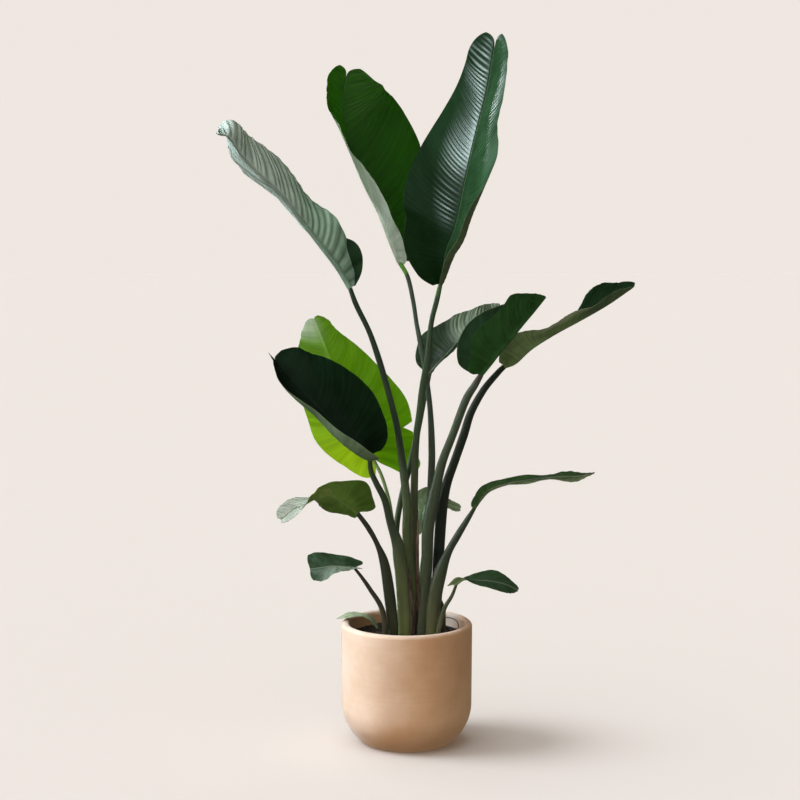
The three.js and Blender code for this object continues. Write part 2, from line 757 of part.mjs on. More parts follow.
// Stalks first: each one gives way to those before it, then blades and soil give way to the stalks
const grownStalks = [];
for (const leaf of LEAVES) {
  const stalk = clearOf(stalkSolid(leaf), grownStalks);
  grownStalks.push(stalkSolid(leaf, TOUCH_GAP));
  addPiece(`stalk_${leaf.name}`, stalk, stalkGreen);
}

LEAVES.forEach((leaf, i) => {
  addPiece(`blade_${leaf.name}`, clearOf(bladeSolid(leaf), [grownStalks[i]]), leafGreen);
});

const oldGrowth = [];
for (const sheath of DRY_SHEATHS) {
  addPiece(sheath.name, clearOf(drySheathSolid(sheath), grownStalks), driedBrown);
  oldGrowth.push(drySheathSolid(sheath, TOUCH_GAP));
}
addPiece("cut_stalk", clearOf(bentTube(CUT_STALK.route, CUT_STALK.girth), grownStalks), stalkGreen);
oldGrowth.push(bentTube(CUT_STALK.route, CUT_STALK.girth, TOUCH_GAP));
addPiece("dry_stem", bentTube(DRY_STEM.route, DRY_STEM.girth, 0, 6), driedBrown);
oldGrowth.push(bentTube(DRY_STEM.route, DRY_STEM.girth, TOUCH_GAP, 6));

addPiece("soil", soilSolid([...grownStalks, ...oldGrowth]), earth);
addPiece("pot", potSolid(), clay);

export default plant;
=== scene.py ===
# %% [markdown]
# This lesson dresses a potted bird of paradise. The frame holds every leaf blade, stalk and the pot as
# plain solids at their real size and place. Here each of them gets a finer piece in the same place, with
# its veins, pleats, sheaths and crumbs, and a finish made of shader nodes. Everything is in metres, with
# the pot's foot on the floor at the origin.

# %% Load the frame
import math
import random

import bmesh
import bpy
import numpy as np
from mathutils import Matrix, Vector, noise


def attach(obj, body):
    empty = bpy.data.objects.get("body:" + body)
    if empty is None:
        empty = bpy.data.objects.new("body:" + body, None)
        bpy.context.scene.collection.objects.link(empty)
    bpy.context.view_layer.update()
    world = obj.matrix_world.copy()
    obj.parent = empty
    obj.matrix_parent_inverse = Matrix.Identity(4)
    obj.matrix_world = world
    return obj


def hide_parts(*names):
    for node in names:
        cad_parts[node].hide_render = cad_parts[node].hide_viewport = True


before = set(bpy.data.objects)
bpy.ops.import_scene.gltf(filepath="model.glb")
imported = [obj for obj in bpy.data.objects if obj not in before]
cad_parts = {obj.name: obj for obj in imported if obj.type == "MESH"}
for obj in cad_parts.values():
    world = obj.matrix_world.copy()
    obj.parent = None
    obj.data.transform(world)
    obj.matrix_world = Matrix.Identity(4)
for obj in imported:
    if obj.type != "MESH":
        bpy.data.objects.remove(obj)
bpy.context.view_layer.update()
MM = 0.001

# %% [markdown]
# The camera comes first, because every later choice is judged through it. The photograph was taken from
# about four metres away, a little above the middle of the plant and looking slightly down, with a long
# lens that keeps the pot's sides parallel. The lens is worked out from the focal length in image widths.

# %% Place the camera
CAMERA_PLACE = (-0.015, -4.0, 1.185)
CAMERA_PITCH = 5.98
FOCAL_IN_IMAGE_WIDTHS = 1825 / 800


def place_camera():
    data = bpy.data.cameras.new("camera")
    data.sensor_width = 36
    data.lens = data.sensor_width * FOCAL_IN_IMAGE_WIDTHS
    made = bpy.data.objects.new("camera", data)
    made.location = CAMERA_PLACE
    made.rotation_euler = (math.radians(90 - CAMERA_PITCH), 0, 0)
    bpy.context.scene.collection.objects.link(made)
    bpy.context.scene.camera = made
    return made


camera = place_camera()
print("camera at", tuple(camera.location), "lens", round(camera.data.lens, 1), "mm")

# %% [markdown]
# Finishes are written as sums. A small class wraps the output socket of a shader node, so that adding or
# multiplying two of them makes the Math node that does it. Colours can't go through a Math node, because
# it would turn them grey, so they are mixed with a Mix node. Any other node comes from one method, which
# first sets the node's own settings and then its sockets.

# %% Write shader maths as expressions
COLOUR_FACTOR, COLOUR_A, COLOUR_B, COLOUR_RESULT = 0, 6, 7, 2
ATTRIBUTE_COLOUR, ATTRIBUTE_VECTOR, ATTRIBUTE_VALUE = 0, 1, 2
OBJECT_PLACE = 3


def linear(red, green, blue):
    """A colour as a screen shows it, from 0 to 255, turned into the light that it stands for."""
    shares = [value / 255 for value in (red, green, blue)]
    return tuple(s / 12.92 if s <= 0.04045 else ((s + 0.055) / 1.055) ** 2.4 for s in shares)


class Wire:
    """An output socket that behaves like a number in an expression."""

    def __init__(self, tree, socket=None):
        self.tree = tree
        self.socket = socket

    def node(self, kind, settings=None, sockets=None, out=0):
        made = self.tree.nodes.new(kind)
        for name, value in (settings or {}).items():
            setattr(made, name, value)
        for key, value in (sockets or {}).items():
            socket = made.inputs[key]
            if isinstance(value, Wire):
                self.tree.links.new(value.socket, socket)
            elif isinstance(value, tuple) and socket.type == "RGBA":
                socket.default_value = (*value, 1)[:4]
            else:
                socket.default_value = value
        return Wire(self.tree, made.outputs[out]) if made.outputs else None

    def attribute(self, name, out):
        return self.node("ShaderNodeAttribute", {"attribute_name": name}, out=out)

    def parts(self):
        """The three numbers of a vector."""
        split = self.node("ShaderNodeSeparateXYZ", None, {0: self}).socket.node
        return [Wire(self.tree, socket) for socket in split.outputs]

    def shifted(self, hue, saturation, value):
        """A colour turned a little in hue, where 0.5 is none, and made duller or brighter."""
        sockets = {"Hue": hue, "Saturation": saturation, "Value": value, "Color": self}
        return self.node("ShaderNodeHueSaturation", None, sockets)

    def maths(self, operation, *values, clamp=False):
        sockets = dict(enumerate(values))
        return self.node("ShaderNodeMath", {"operation": operation, "use_clamp": clamp}, sockets)

    def __add__(self, other):
        return self.maths("ADD", self, other)

    def __sub__(self, other):
        return self.maths("SUBTRACT", self, other)

    def __mul__(self, other):
        return self.maths("MULTIPLY", self, other)

    def __pow__(self, other):
        return self.maths("POWER", self, other)

    def __rsub__(self, other):
        return self.maths("SUBTRACT", other, self)

    __radd__ = __add__
    __rmul__ = __mul__

    def clamped(self):
        return self.maths("ADD", self, 0.0, clamp=True)

    def size(self):
        return self.maths("ABSOLUTE", self)

    def ramp(self, low, high):
        """0 below low and 1 above high, smooth between."""
        settings = {"interpolation_type": "SMOOTHSTEP"}
        return self.node("ShaderNodeMapRange", settings, {0: self, 1: low, 2: high, 3: 0.0, 4: 1.0})

    def mix(self, a, b):
        """Colour a where this value is 0, and colour b where it is 1."""
        sockets = {COLOUR_FACTOR: self, COLOUR_A: a, COLOUR_B: b}
        return self.node("ShaderNodeMix", {"data_type": "RGBA"}, sockets, COLOUR_RESULT)

    def vector(self, x, y, z):
        return self.node("ShaderNodeCombineXYZ", None, {0: x, 1: y, 2: z})

    def noise(self, where, scale, detail=4.0, rough=0.55):
        sockets = {"Vector": where, "Scale": scale, "Detail": detail, "Roughness": rough}
        return self.node("ShaderNodeTexNoise", None, sockets)

    def stretched(self, *scale):
        """A place whose pattern is stretched or squashed along each axis."""
        return self.node("ShaderNodeMapping", None, {"Vector": self, "Scale": scale})

    def bump(self, strength, distance):
        """A surface that stands out by this height, for a Normal socket."""
        sockets = {"Strength": strength, "Distance": distance, "Height": self}
        return self.node("ShaderNodeBump", None, sockets)

    def surface(self, colour, roughness, bump, more=None):
        """A Principled shader with what every finish sets, and the sockets that only one finish sets."""
        sockets = {"Base Color": colour, "Roughness": roughness.clamped(), "Normal": bump, **(more or {})}
        return self.node("ShaderNodeBsdfPrincipled", None, sockets)

    def between(self, first, second):
        """The first shader where this value is 0, and the second one where it is 1."""
        return self.node("ShaderNodeMixShader", None, {0: self, 1: first, 2: second})


print("shader class ready:", Wire.__doc__)

# %% [markdown]
# Every finish begins as an empty node material and ends at the output node that the renderer reads.

# %% Begin and end a finish


def new_finish(name):
    """An empty node material, and the wire that its nodes are made from."""
    finish = bpy.data.materials.new(name)
    finish.use_nodes = True
    finish.node_tree.nodes.clear()
    return finish, Wire(finish.node_tree)


def finish_with(start, shader):
    start.node("ShaderNodeOutputMaterial", None, {"Surface": shader})


print("finishes can be made")

# %% [markdown]
# Light that comes from behind shines through a leaf yellow-green. A Translucent shader passes it on, and
# two of them are mixed, so that the light is brighter along the streaks between the veins. Each has one
# fixed colour, and only the mixing changes over the leaf. Old leaves and the young one let one colour
# through. The bright leaf has a second, brighter one near the base of its right half, which is painted
# light: it stands for the stronger light that comes through there.

# %% Light through a leaf
STREAK_BRIGHTNESS = 1.55
SHINES = {
    "old": ((120, 180, 30), (120, 180, 30)),
    "young": ((96, 150, 26), (96, 150, 26)),
    # The bright leaf's second colour is painted light: a brighter light through near the base of its right
    # half.
    "bright": ((128, 166, 38), (186, 208, 74)),
}


def light_through(start, colour, streaks, bump):
    """Light of one colour that comes through the blade, brighter along the streaks."""
    bright = tuple(STREAK_BRIGHTNESS * level for level in colour)
    even, strong = (start.node("ShaderNodeBsdfTranslucent", None, {"Color": shade, "Normal": bump})
                    for shade in (colour, bright))
    return (streaks.ramp(0.3, 0.75) * 0.45).between(even, strong)


print("light through leaves:", list(SHINES))

# %% [markdown]
# A leaf blade is dark above, with a gloss that is strongest near the midrib, and duller and paler below.
# So each face gets a Principled shader mixed with the light that comes through. The pattern has to follow
# the veins, so it reads attributes that the blade carries: the count of pleats passed along the midrib,
# the place between midrib and margin, the distance from the midrib, the leaf's colours, with painted
# light and shade washed over some of them, and how dark the painted shade in the folds between its pleats
# is.

# %% Leaf finishes
MIDRIB_EDGE = (0.0004, 0.0022)
MARGIN_BAND = (0.98, 0.997)


def leaf_finish(age, face, shine, painted_base_shine, rib_lift, midrib_share, roughness, coat):
    finish, start = new_finish(f"leaf_{face}_{age}")
    phase, across, along = start.attribute("sheet", ATTRIBUTE_VECTOR).parts()
    reach, glow, fold_shade = (start.attribute(name, ATTRIBUTE_VALUE) for name in ("reach", "glow", "fold_shade"))
    colour, rib_colour = (start.attribute("tint_" + name, ATTRIBUTE_COLOUR) for name in (face, "rib"))

    streaks = start.noise(start.vector(phase * 2.4, across * 0.6, along * 3.0), 1.0, 3.0)
    veins = start.noise(start.vector(phase * 9.0, across * 1.2, along * 5.0), 1.0, 3.0)
    clouds = start.noise(start.vector(phase * 0.11, across * 1.4, along * 4.0), 1.6)
    crest = start.maths("COSINE", phase * (2 * math.pi)) * 0.5 + 0.5
    valley = 1 - crest if face == "top" else crest
    rib_mask = (crest ** 9.0) * across.size().ramp(0.02, 0.12) * streaks.ramp(0.3, 0.6)
    midrib = 1 - reach.ramp(*MIDRIB_EDGE)
    margin = across.size().ramp(*MARGIN_BAND)

    shaded = clouds.ramp(0.35, 0.7).mix(colour, colour.shifted(0.494, 1.05, 0.70))
    streaked = (streaks.ramp(0.35, 0.75) * 0.4).mix(shaded, shaded.shifted(0.49, 0.95, 1.45))
    veined = (veins.ramp(0.45, 0.8) * 0.25).mix(streaked, streaked.shifted(0.49, 0.95, 1.5))
    # Painted shade: the folds between the pleats are darkened by the blade's fold shade number.
    fold_shade_mask = valley ** 4.0 * across.size().ramp(0.03, 0.2) * fold_shade
    folded = fold_shade_mask.mix(veined, veined.shifted(0.5, 1.0, 0.4))
    ribbed = (rib_mask * rib_lift).mix(folded, colour.shifted(0.485, 0.85, 2.2))
    ribbed = (midrib * midrib_share).mix(ribbed, rib_colour)
    edged = (margin * 0.3).mix(ribbed, colour.shifted(0.47, 0.8, 1.6))

    bump = (streaks * 0.45 + veins * 0.25 + rib_mask * 0.12).bump(0.3, 0.0006)
    rough = streaks * 0.16 + clouds * 0.16 + (roughness - 0.16)
    near_midrib = 1 - across.size().ramp(0.12, along * 1.2 + 0.18)
    surface = start.surface(edged, rough, bump, {
        "Coat Weight": (near_midrib * (streaks + 0.5) * coat).clamped(), "Coat Roughness": 0.25,
        "Specular IOR Level": 0.12})
    shining = light_through(start, linear(*shine), streaks, bump)
    # Painted light: near the base of the right half the light through takes the brighter second colour.
    if painted_base_shine != shine:
        painted_shine_side = (1 - along.ramp(0.05, 0.5)) * across.ramp(-0.3, 0.3)
        shining = painted_shine_side.between(shining, light_through(start, linear(*painted_base_shine), streaks, bump))
    finish_with(start, (glow * (1 - midrib * 0.5)).clamped().between(surface, shining))
    return finish


FACES = {
    "top": {"rib_lift": 0.10, "midrib_share": 0.8, "roughness": 0.58, "coat": 0.95},
    "under": {"rib_lift": 0.12, "midrib_share": 0.5, "roughness": 0.52, "coat": 0.1},
}
leaf_finishes = {age: [leaf_finish(age, face, *shines, **look) for face, look in FACES.items()]
                 for age, shines in SHINES.items()}
print("leaf finishes:", [finish.name for pair in leaf_finishes.values() for finish in pair])

# %% [markdown]
# A stalk is smooth and a little waxy, with fine lines that run along it. It is paler and browner near the
# soil, where old sheaths wrap it, and dark green above. A few stalks end in a collar of another green
# under the blade. The finish reads the stalk's own attributes: the turn round it, the length along it and
# its share of the whole length.

# %% Stalk and dried finishes
COLLAR_EDGE = (0.962, 0.972)


def stalk_finish():
    finish, start = new_finish("stalk")
    turn, length, share = start.attribute("sheet", ATTRIBUTE_VECTOR).parts()
    colour, foot, collar = (start.attribute("tint_" + name, ATTRIBUTE_COLOUR)
                            for name in ("top", "under", "collar"))

    lines = start.noise(start.vector(turn * 14.0, length * 6.0, share), 3.0, 3.0)
    patches = start.noise(start.vector(turn * 2.0, length * 9.0, share), 2.0, 4.0)
    wash = (share * -2.0 + 1.0 + patches * 0.5).clamped()
    blended = wash.mix(colour, foot)
    lined = (lines.ramp(0.42, 0.8) * 0.4).mix(blended, blended.shifted(0.49, 0.95, 1.6))
    scarred = (patches.ramp(0.62, 0.8) * 0.5).mix(lined, linear(70, 56, 40))
    collared = share.ramp(*COLLAR_EDGE).mix(scarred, collar)
    wax = {"Coat Weight": 0.55, "Coat Roughness": 0.22}
    finish_with(start, start.surface(collared, lines * 0.2 + 0.28, lines.bump(0.4, 0.0005), wax))
    return finish


def dried_finish():
    finish, start = new_finish("dried")
    where = start.node("ShaderNodeTexCoord", out=OBJECT_PLACE)
    fibres = start.noise(where.stretched(9.0, 9.0, 0.6), 60.0, 5.0)
    colour = fibres.ramp(0.3, 0.7).mix(linear(72, 54, 46), linear(144, 118, 102))
    finish_with(start, start.surface(colour, fibres * 0.2 + 0.72, fibres.bump(0.6, 0.0008)))
    return finish


stalk_green = stalk_finish()
dried_brown = dried_finish()
print("stalk finishes:", stalk_green.name, dried_brown.name)

# %% [markdown]
# The pot is unglazed clay: warm, matte and nearly even, with faint clouds of lighter and darker clay,
# fine rings from turning, and a tooth like fine sandpaper. Soil is dark, moist and rough in two sizes,
# lumps and grains. Both patterns read Object coordinates, so they stay with the piece.

# %% Clay and soil finishes
FOOT_SHADE_HEIGHT = 80 * MM


def clay_finish():
    finish, start = new_finish("clay")
    where = start.node("ShaderNodeTexCoord", out=OBJECT_PLACE)
    clouds = start.noise(where, 7.0, 5.0, 0.6)
    grain = start.noise(where, 900.0, 2.0)
    rings = start.noise(where.stretched(0.6, 0.6, 60.0), 4.0, 3.0)
    base = clouds.ramp(0.3, 0.72).mix(linear(208, 160, 120), linear(224, 181, 143))
    ringed = (rings.ramp(0.45, 0.8) * 0.15).mix(base, linear(196, 148, 112))
    _, _, level = where.parts()
    # Painted shade: the clay turns darker and warmer towards the foot.
    foot_shaded = ((1 - level.ramp(0.0, FOOT_SHADE_HEIGHT)) * 0.7).mix(ringed, linear(186, 134, 90))
    specked = (grain.ramp(0.62, 0.75) * 0.22).mix(foot_shaded, linear(150, 104, 74))
    bump = (grain * 0.5 + rings * 0.15 + clouds * 0.5).bump(0.25, 0.0006)
    dust = {"Specular IOR Level": 0.4, "Sheen Weight": 0.4, "Sheen Roughness": 0.4,
            "Sheen Tint": (1.0, 0.80, 0.62)}
    finish_with(start, start.surface(specked, clouds * 0.12 + 0.74, bump, dust))
    return finish


def soil_finish():
    finish, start = new_finish("soil")
    where = start.node("ShaderNodeTexCoord", out=OBJECT_PLACE)
    lumps = start.noise(where, 90.0, 6.0, 0.65)
    grains = start.noise(where, 420.0, 3.0)
    dark = lumps.ramp(0.3, 0.7).mix(linear(26, 18, 13), linear(66, 47, 34))
    flecked = (grains.ramp(0.62, 0.78) * 0.6).mix(dark, linear(112, 84, 60))
    bump = (lumps * 0.8 + grains * 0.4).bump(0.9, 0.002)
    finish_with(start, start.surface(flecked, grains * 0.15 + 0.82, bump))
    return finish


clay = clay_finish()
dark_soil = soil_finish()
print("pot finishes:", clay.name, dark_soil.name)

# %% [markdown]
# Leaves and stalks follow smooth lines through a few points, the same points that the frame's solids were
# made from. The curve is a Catmull-Rom spline: it passes through each point and takes its direction there
# from the neighbours on both sides. numpy works it out for thousands of places at once.

# %% Curves through points
FINE_STEPS, NUDGE = 1601, 0.002


def unit(vectors):
    return vectors / np.linalg.norm(vectors, axis=-1, keepdims=True)


def through(values, places):
    """The smooth line through a list of numbers or points, at places from 0 to 1."""
    points = np.array(values, float)
    if points.ndim == 1:
        points = points[:, None]
    spans = len(points) - 1
    padded = np.vstack([2 * points[0] - points[1], points, 2 * points[-1] - points[-2]])
    position = np.clip(places, 0, 1) * spans
    first = np.minimum(position.astype(int), spans - 1)
    f = (position - first)[..., None]
    a, b, c, d = (padded[first + i] for i in range(4))
    line = b + 0.5 * ((c - a) * f + (2 * a - 5 * b + 4 * c - d) * f**2 + (3 * b - a - 3 * c + d) * f**3)
    return line[..., 0] if line.shape[-1] == 1 else line


def even_steps(points, shares):
    """Points at shares of the line's length, the direction at each, the length and the points' places."""
    fine = np.linspace(0, 1, FINE_STEPS)
    dense = through(points, fine)
    run = np.concatenate([[0], np.cumsum(np.linalg.norm(np.diff(dense, axis=0), axis=1))])
    places = np.interp(shares, run / run[-1], fine)
    ahead = through(points, places + NUDGE) - through(points, places - NUDGE)
    return through(points, places), unit(ahead), run[-1], places


# %% [markdown]
# These are the fourteen leaves, in millimetres, seen with the upper face to the viewer and the tip up.
# Each half has its half width, the angle that it is folded up from flat at the midrib, and the curl that
# it turns through on its way to the margin, in degrees. Its wave has a height, a count along the leaf and
# a start. The sweep is the angle that the side veins lean towards the tip, crack is how far the halves
# stand past the tip, lobes how far they hang below the base, and rib how thick the midrib is. What isn't
# given is nothing, such as a curl or a crack. Pleat is the depth and spacing of the pleats. The colours
# are the leaf's own, dark on old leaves and brighter on young ones, but the pale top of low_left is a
# painted sheen. Glow is how much light it lets through, age tells the colour of that light, and the fold
# shade how dark the painted shade in the folds is. A wash is a soft change of colour on one face, painted
# light or shade on some leaves and a tint of the leaf on others: it grows between two shares of the length
# and between two places from the left margin, -1, to the right one, 1.

# %% The leaves
LEAVES = {
    "top_right": {
        "stalk": [[16, 40, 232], [16, 36, 346], [16, 26, 472], [16, 12, 560], [20, -10, 678],
                  [28, -20, 736], [34, -30, 796], [44, -40, 856], [52, -50, 936], [64, -58, 988]],
        "girth": [12, 11, 10, 9, 8, 9, 8, 8, 6, 6, 5],
        "midrib": [[72, -62, 1024], [84, -66, 1096], [104, -66, 1150], [126, -60, 1252], [148, -44, 1344],
                   [172, -20, 1436], [189, 6, 1532]],
        "facing": [[-45, -85, -20], [-45, -88, -20], [-40, -90, -20]],
        "sweep": [-14, 4, 12, 18, 6], "crack": 28, "rib": 6,
        "left": {"half": [36, 94, 120, 122, 106, 84, 68, 58, 52], "fold": [60, 28, 26, 28, 30],
                 "curl": [10, 6, -4, -6, 8], "wave": (2, 3.2, 0.45)},
        "right": {"half": [40, 80, 98, 110, 88, 58, 58, 50, 36],
                  "fold": [20, 10, 8, 12, 22, 24, 26, 26, 26], "curl": [100, 110, 100, 60, 15, 0, 0, 0, 0],
                  "wave": (3, 2.6, 0.3)},
        "pleat": (0.28, 9.5), "top": (28, 64, 34), "under": (96, 112, 84), "glow": 0.12,
        "rib_tint": (70, 98, 68), "rib_width": 1.4, "fold_shade": 0.12,
        # Painted shade and sheen: the first wash darkens the base of the left half, the second turns the
        # right half greyer.
        "light_and_tint_washes": [("top", (0.55, 0.3), (0, -0.1), (20, 50, 22)), ("top", None, (0, 0.1), (42, 74, 46))],
    },
    "top_left": {
        "stalk": [[40, 58, 232], [48, 50, 398], [54, 38, 566], [56, 26, 652], [50, 12, 764], [32, 10, 880],
                  [22, 14, 932], [14, 20, 984], [2, 26, 1036]],
        "girth": [9, 9, 8, 8, 6, 6, 5, 5, 5, 5],
        "midrib": [[-16, 30, 1068], [-36, 34, 1116], [-60, 40, 1176], [-94, 48, 1242], [-124, 58, 1314],
                   [-140, 70, 1384], [-140, 84, 1442], [-134, 90, 1476]],
        "facing": [[80, -60, 0], [75, -66, -10], [60, -80, -20], [10, -100, -20]],
        "sweep": [-20, 6, 14, 20, 4], "crack": 20, "rib": 6,
        "left": {"half": [50, 90, 108, 112, 106, 88, 60, 52, 44],
                 "fold": [50, 50, 50, 50, 48, 42, 32, 20, 10], "curl": [10, 10], "wave": (4, 3.5, 0)},
        "right": {"half": [50, 80, 122, 150, 152, 140, 118, 98, 62], "fold": [50, 30, 25, 20, 10],
                  "curl": [20, 5, 5, 10, 10], "wave": (1.5, 2.5, 0)},
        "pleat": (0.5, 12), "top": (33, 68, 22), "under": (186, 206, 176), "glow": 0.5, "age": "young",
        # Painted light: the top wash brightens the tip half where light shines through the leaf.
        "light_and_tint_washes": [("top", (0.55, 0.9), None, (46, 92, 20)), ("under", (0.4, 0.2), None, (222, 236, 214))],
    },
    "far_left": {
        "stalk": [[8, 4, 240], [10, 4, 352], [0, 0, 464], [0, -6, 544], [-18, -6, 688], [-32, -6, 752],
                  [-48, -8, 812], [-64, -10, 866], [-83, -14, 920], [-110, -18, 976]],
        "girth": [13, 13, 10, 10, 8, 7, 7, 7, 6, 6, 5],
        "midrib": [[-124, -20, 1014], [-152, -24, 1060], [-192, -30, 1112], [-232, -40, 1164],
                   [-266, -56, 1208], [-310, -76, 1252], [-348, -100, 1292], [-374, -130, 1332],
                   [-392, -138, 1342]],
        "facing": [[13, 98, 10], [13, 98, 10]],
        "sweep": [-10, 10, 14, 16, 10], "rib": 6,
        "left": {"half": [30, 80, 106, 104, 106, 92, 72, 54, 58],
                 "fold": [58, 62, 58, 67, 70, 57, 53, 60, 66], "curl": [14, 14], "wave": (3, 3, 0.2)},
        "right": {"half": [34, 98, 88, 92, 96, 94, 84, 60, 46],
                  "fold": [80, 80, 72, 66, 62, 62, 66, 70, 72], "curl": [88, 92, 30, 20, 14, 10, 5, 5, 5],
                  "wave": (3, 2.5, 0)},
        "pleat": (1.3, 18), "top": (30, 62, 36), "under": (170, 204, 184), "glow": 0.12,
        "rib_tint": (40, 60, 42), "rib_width": 2, "fold_shade": 0.9,
        # Painted highlight: the under wash turns the tip half pale.
        "light_and_tint_washes": [("under", (0.3, 0.5), None, (204, 226, 218))],
    },
    "mid_left_front": {
        "stalk": [[-4, -30, 244], [-8, -34, 344], [-18, -40, 444], [-36, -46, 502], [-48, -54, 552],
                  [-66, -64, 590], [-78, -74, 620]],
        "girth": [15, 15, 14, 9, 8, 7, 6, 5],
        "midrib": [[-80, -84, 652], [-106, -84, 672], [-144, -74, 706], [-188, -54, 752], [-236, -24, 796],
                   [-272, 14, 832], [-292, 36, 852]],
        "facing": [[35, -80, 45], [30, -85, 40], [30, -90, 30]],
        "sweep": [-25, 6, 14, 18, 8], "crack": 10, "rib": 5,
        "left": {"half": [56, 76, 78, 84, 88, 84, 70, 50, 36], "fold": [5, 5, 8, 18, 22, 27, 36, 46, 60],
                 "curl": [135, 130, 105, 75, 60, 50, 40, 30, 20], "wave": (2, 2.2, 0.5)},
        "right": {"half": [44, 85, 112, 114, 107, 98, 84, 66, 54], "fold": [20, 15, 12, 10, 10],
                  "curl": [10, -5, -10, -5, 0], "wave": (2, 2.6, 0)},
        "pleat": (0.25, 11), "top": (11, 28, 13), "under": (104, 126, 96), "glow": 0.05,
        "rib_tint": (30, 50, 30),
    },
    "mid_left_back": {
        "stalk": [[-14, 0, 240], [-12, -2, 340], [-20, -6, 424], [-32, -8, 496], [-40, 10, 544],
                  [-56, 36, 592], [-70, 52, 618]],
        "girth": [8, 7, 7, 5, 4, 4, 4, 4],
        "midrib": [[-78, 60, 636], [-94, 68, 666], [-120, 84, 724], [-148, 104, 784], [-174, 132, 848],
                   [-198, 164, 900], [-212, 186, 932]],
        "facing": [[-30, 90, 35], [-30, 90, 30], [-20, 90, 20]],
        "sweep": [-40, -5, 10, 20, 10], "crack": 8, "lobes": 32, "rib": 4,
        "left": {"half": [84, 112, 130, 120, 102, 78, 56, 38, 30], "fold": [15, 12, 10, 8, 10],
                 "curl": [10, 0, 0, 0, 20], "wave": (3, 3, 0), "tears": [(0.17, 0.018, 0.18)]},
        "right": {"half": [28, 74, 102, 98, 92, 84, 68, 50, 36], "fold": [15, 12, 10, 15, 20],
                  "curl": [10, 0, 0, 0, 20], "wave": (3, 3, 0.4)},
        "pleat": (0.6, 11), "top": (92, 140, 26), "under": (124, 172, 42), "glow": 0.75,
        "rib_tint": (128, 166, 56), "age": "bright",
        "light_and_tint_washes": [("under", (0.76, 0.98), (-0.7, 0.5), (236, 242, 220))],
    },
    "mid_right_back": {
        "stalk": [[-8, 32, 232], [-12, 28, 332], [-24, 26, 420], [-22, 28, 488], [-8, 34, 560],
                  [4, 40, 604], [20, 46, 672], [32, 50, 728], [42, 52, 770]],
        "girth": [9, 9, 8, 7, 7, 7, 7, 6, 4, 4],
        "midrib": [[52, 52, 822], [66, 57, 840], [90, 68, 862], [118, 86, 892], [150, 112, 922],
                   [186, 140, 948], [214, 162, 966]],
        "facing": [[-50, -60, 62], [-45, -65, 60], [-40, -70, 55]],
        "sweep": [-14, -4, 14, 22, 16], "rib": 4,
        "left": {"half": [28, 62, 78, 70, 56, 42, 30, 20, 10], "fold": [20, 20, 20, 30, 40],
                 "wave": (3, 4, 0)},
        "right": {"half": [24, 56, 74, 68, 56, 42, 30, 20, 10], "fold": [36, 40, 44, 40, 36],
                  "wave": (2, 3, 0)},
        "pleat": (0.9, 10), "top": (38, 60, 34), "under": (84, 108, 70), "glow": 0.1,
        "rib_tint": (150, 168, 140), "rib_width": 1.3, "fold_shade": 1.0,
        # Painted highlight: the top wash turns the tip half pale.
        "light_and_tint_washes": [("top", (0.3, 0.5), None, (126, 144, 116))],
    },
    "mid_right_folded": {
        "stalk": [[32, -16, 242], [40, -18, 324], [44, -20, 400], [46, -22, 480], [54, -24, 532],
                  [64, -26, 578], [78, -28, 634], [100, -30, 692], [128, -32, 768], [148, -34, 802]],
        "girth": [13, 11, 13, 14, 14, 12, 10, 9, 9, 8, 6],
        "midrib": [[162, -36, 826], [180, -40, 848], [200, -46, 874], [224, -56, 904], [248, -64, 934],
                   [276, -76, 968], [298, -88, 996]],
        "facing": [[-76, -10, 65], [-76, -10, 65], [-70, -10, 70]],
        "sweep": [-30, 0, 12, 18, 26], "rib": 5,
        "left": {"half": [40, 78, 94, 88, 74, 58, 42, 24, 6], "fold": [60, 60], "curl": [40, 20, 10, 0, 0],
                 "wave": (3, 3, 0)},
        "right": {"half": [30, 52, 78, 82, 74, 72, 78, 46, 8], "fold": [50, 55, 60, 60, 60],
                  "curl": [20, 15, 10, 0, 0], "wave": (2, 3, 0.3)},
        "pleat": (0.6, 11), "top": (38, 66, 42), "under": (50, 94, 46), "glow": 0.16,
    },
    "far_right": {
        "stalk": [[62, 20, 240], [68, 18, 360], [72, 16, 440], [78, 14, 524], [88, 14, 576], [106, 16, 628],
                  [126, 18, 686], [142, 20, 736], [170, 24, 786], [200, 28, 822]],
        "girth": [14, 13, 13, 13, 11, 10, 10, 9, 8, 7, 6],
        "midrib": [[216, 30, 838], [240, 26, 848], [274, 14, 880], [324, -10, 914], [376, -32, 944],
                   [432, -56, 978], [482, -78, 1014]],
        "facing": [[-50, 15, 85], [-45, 15, 88], [-40, 15, 90]],
        "sweep": [-20, 0, 12, 16, 10], "crack": 10, "rib": 5,
        "left": {"half": [26, 66, 84, 76, 58, 66, 64, 46, 24], "fold": [40, 40, 22, 14, 20, 46, 50, 50, 46],
                 "wave": (3, 3, 0)},
        "right": {"half": [30, 64, 82, 80, 66, 62, 56, 42, 30],
                  "fold": [45, 45, 27, 16, 14, 14, 12, 12, 14], "wave": (4, 3.4, 0.3)},
        "pleat": (0.7, 11), "top": (20, 40, 22), "under": (128, 156, 104), "glow": 0.12,
        "rib_tint": (110, 116, 90),
        "light_and_tint_washes": [("under", (0.26, 0.36), (0.5, 0.85), (172, 184, 150)),
                   ("under", (0.5, 0.7), None, (92, 112, 80))],
    },
    "low_right": {
        "stalk": [[54, -42, 240], [60, -50, 328], [72, -56, 388], [90, -58, 436], [112, -60, 476],
                  [134, -66, 514]],
        "girth": [15, 16, 15, 9, 8, 6, 4],
        "midrib": [[148, -70, 538], [160, -74, 556], [178, -80, 576], [212, -92, 592], [260, -108, 604],
                   [312, -124, 612], [360, -140, 616], [398, -150, 624]],
        "facing": [[-30, -20, 90], [-16, -20, 95], [-6, -12, 100], [0, -12, 100], [0, -18, 100],
                   [0, -25, 95]],
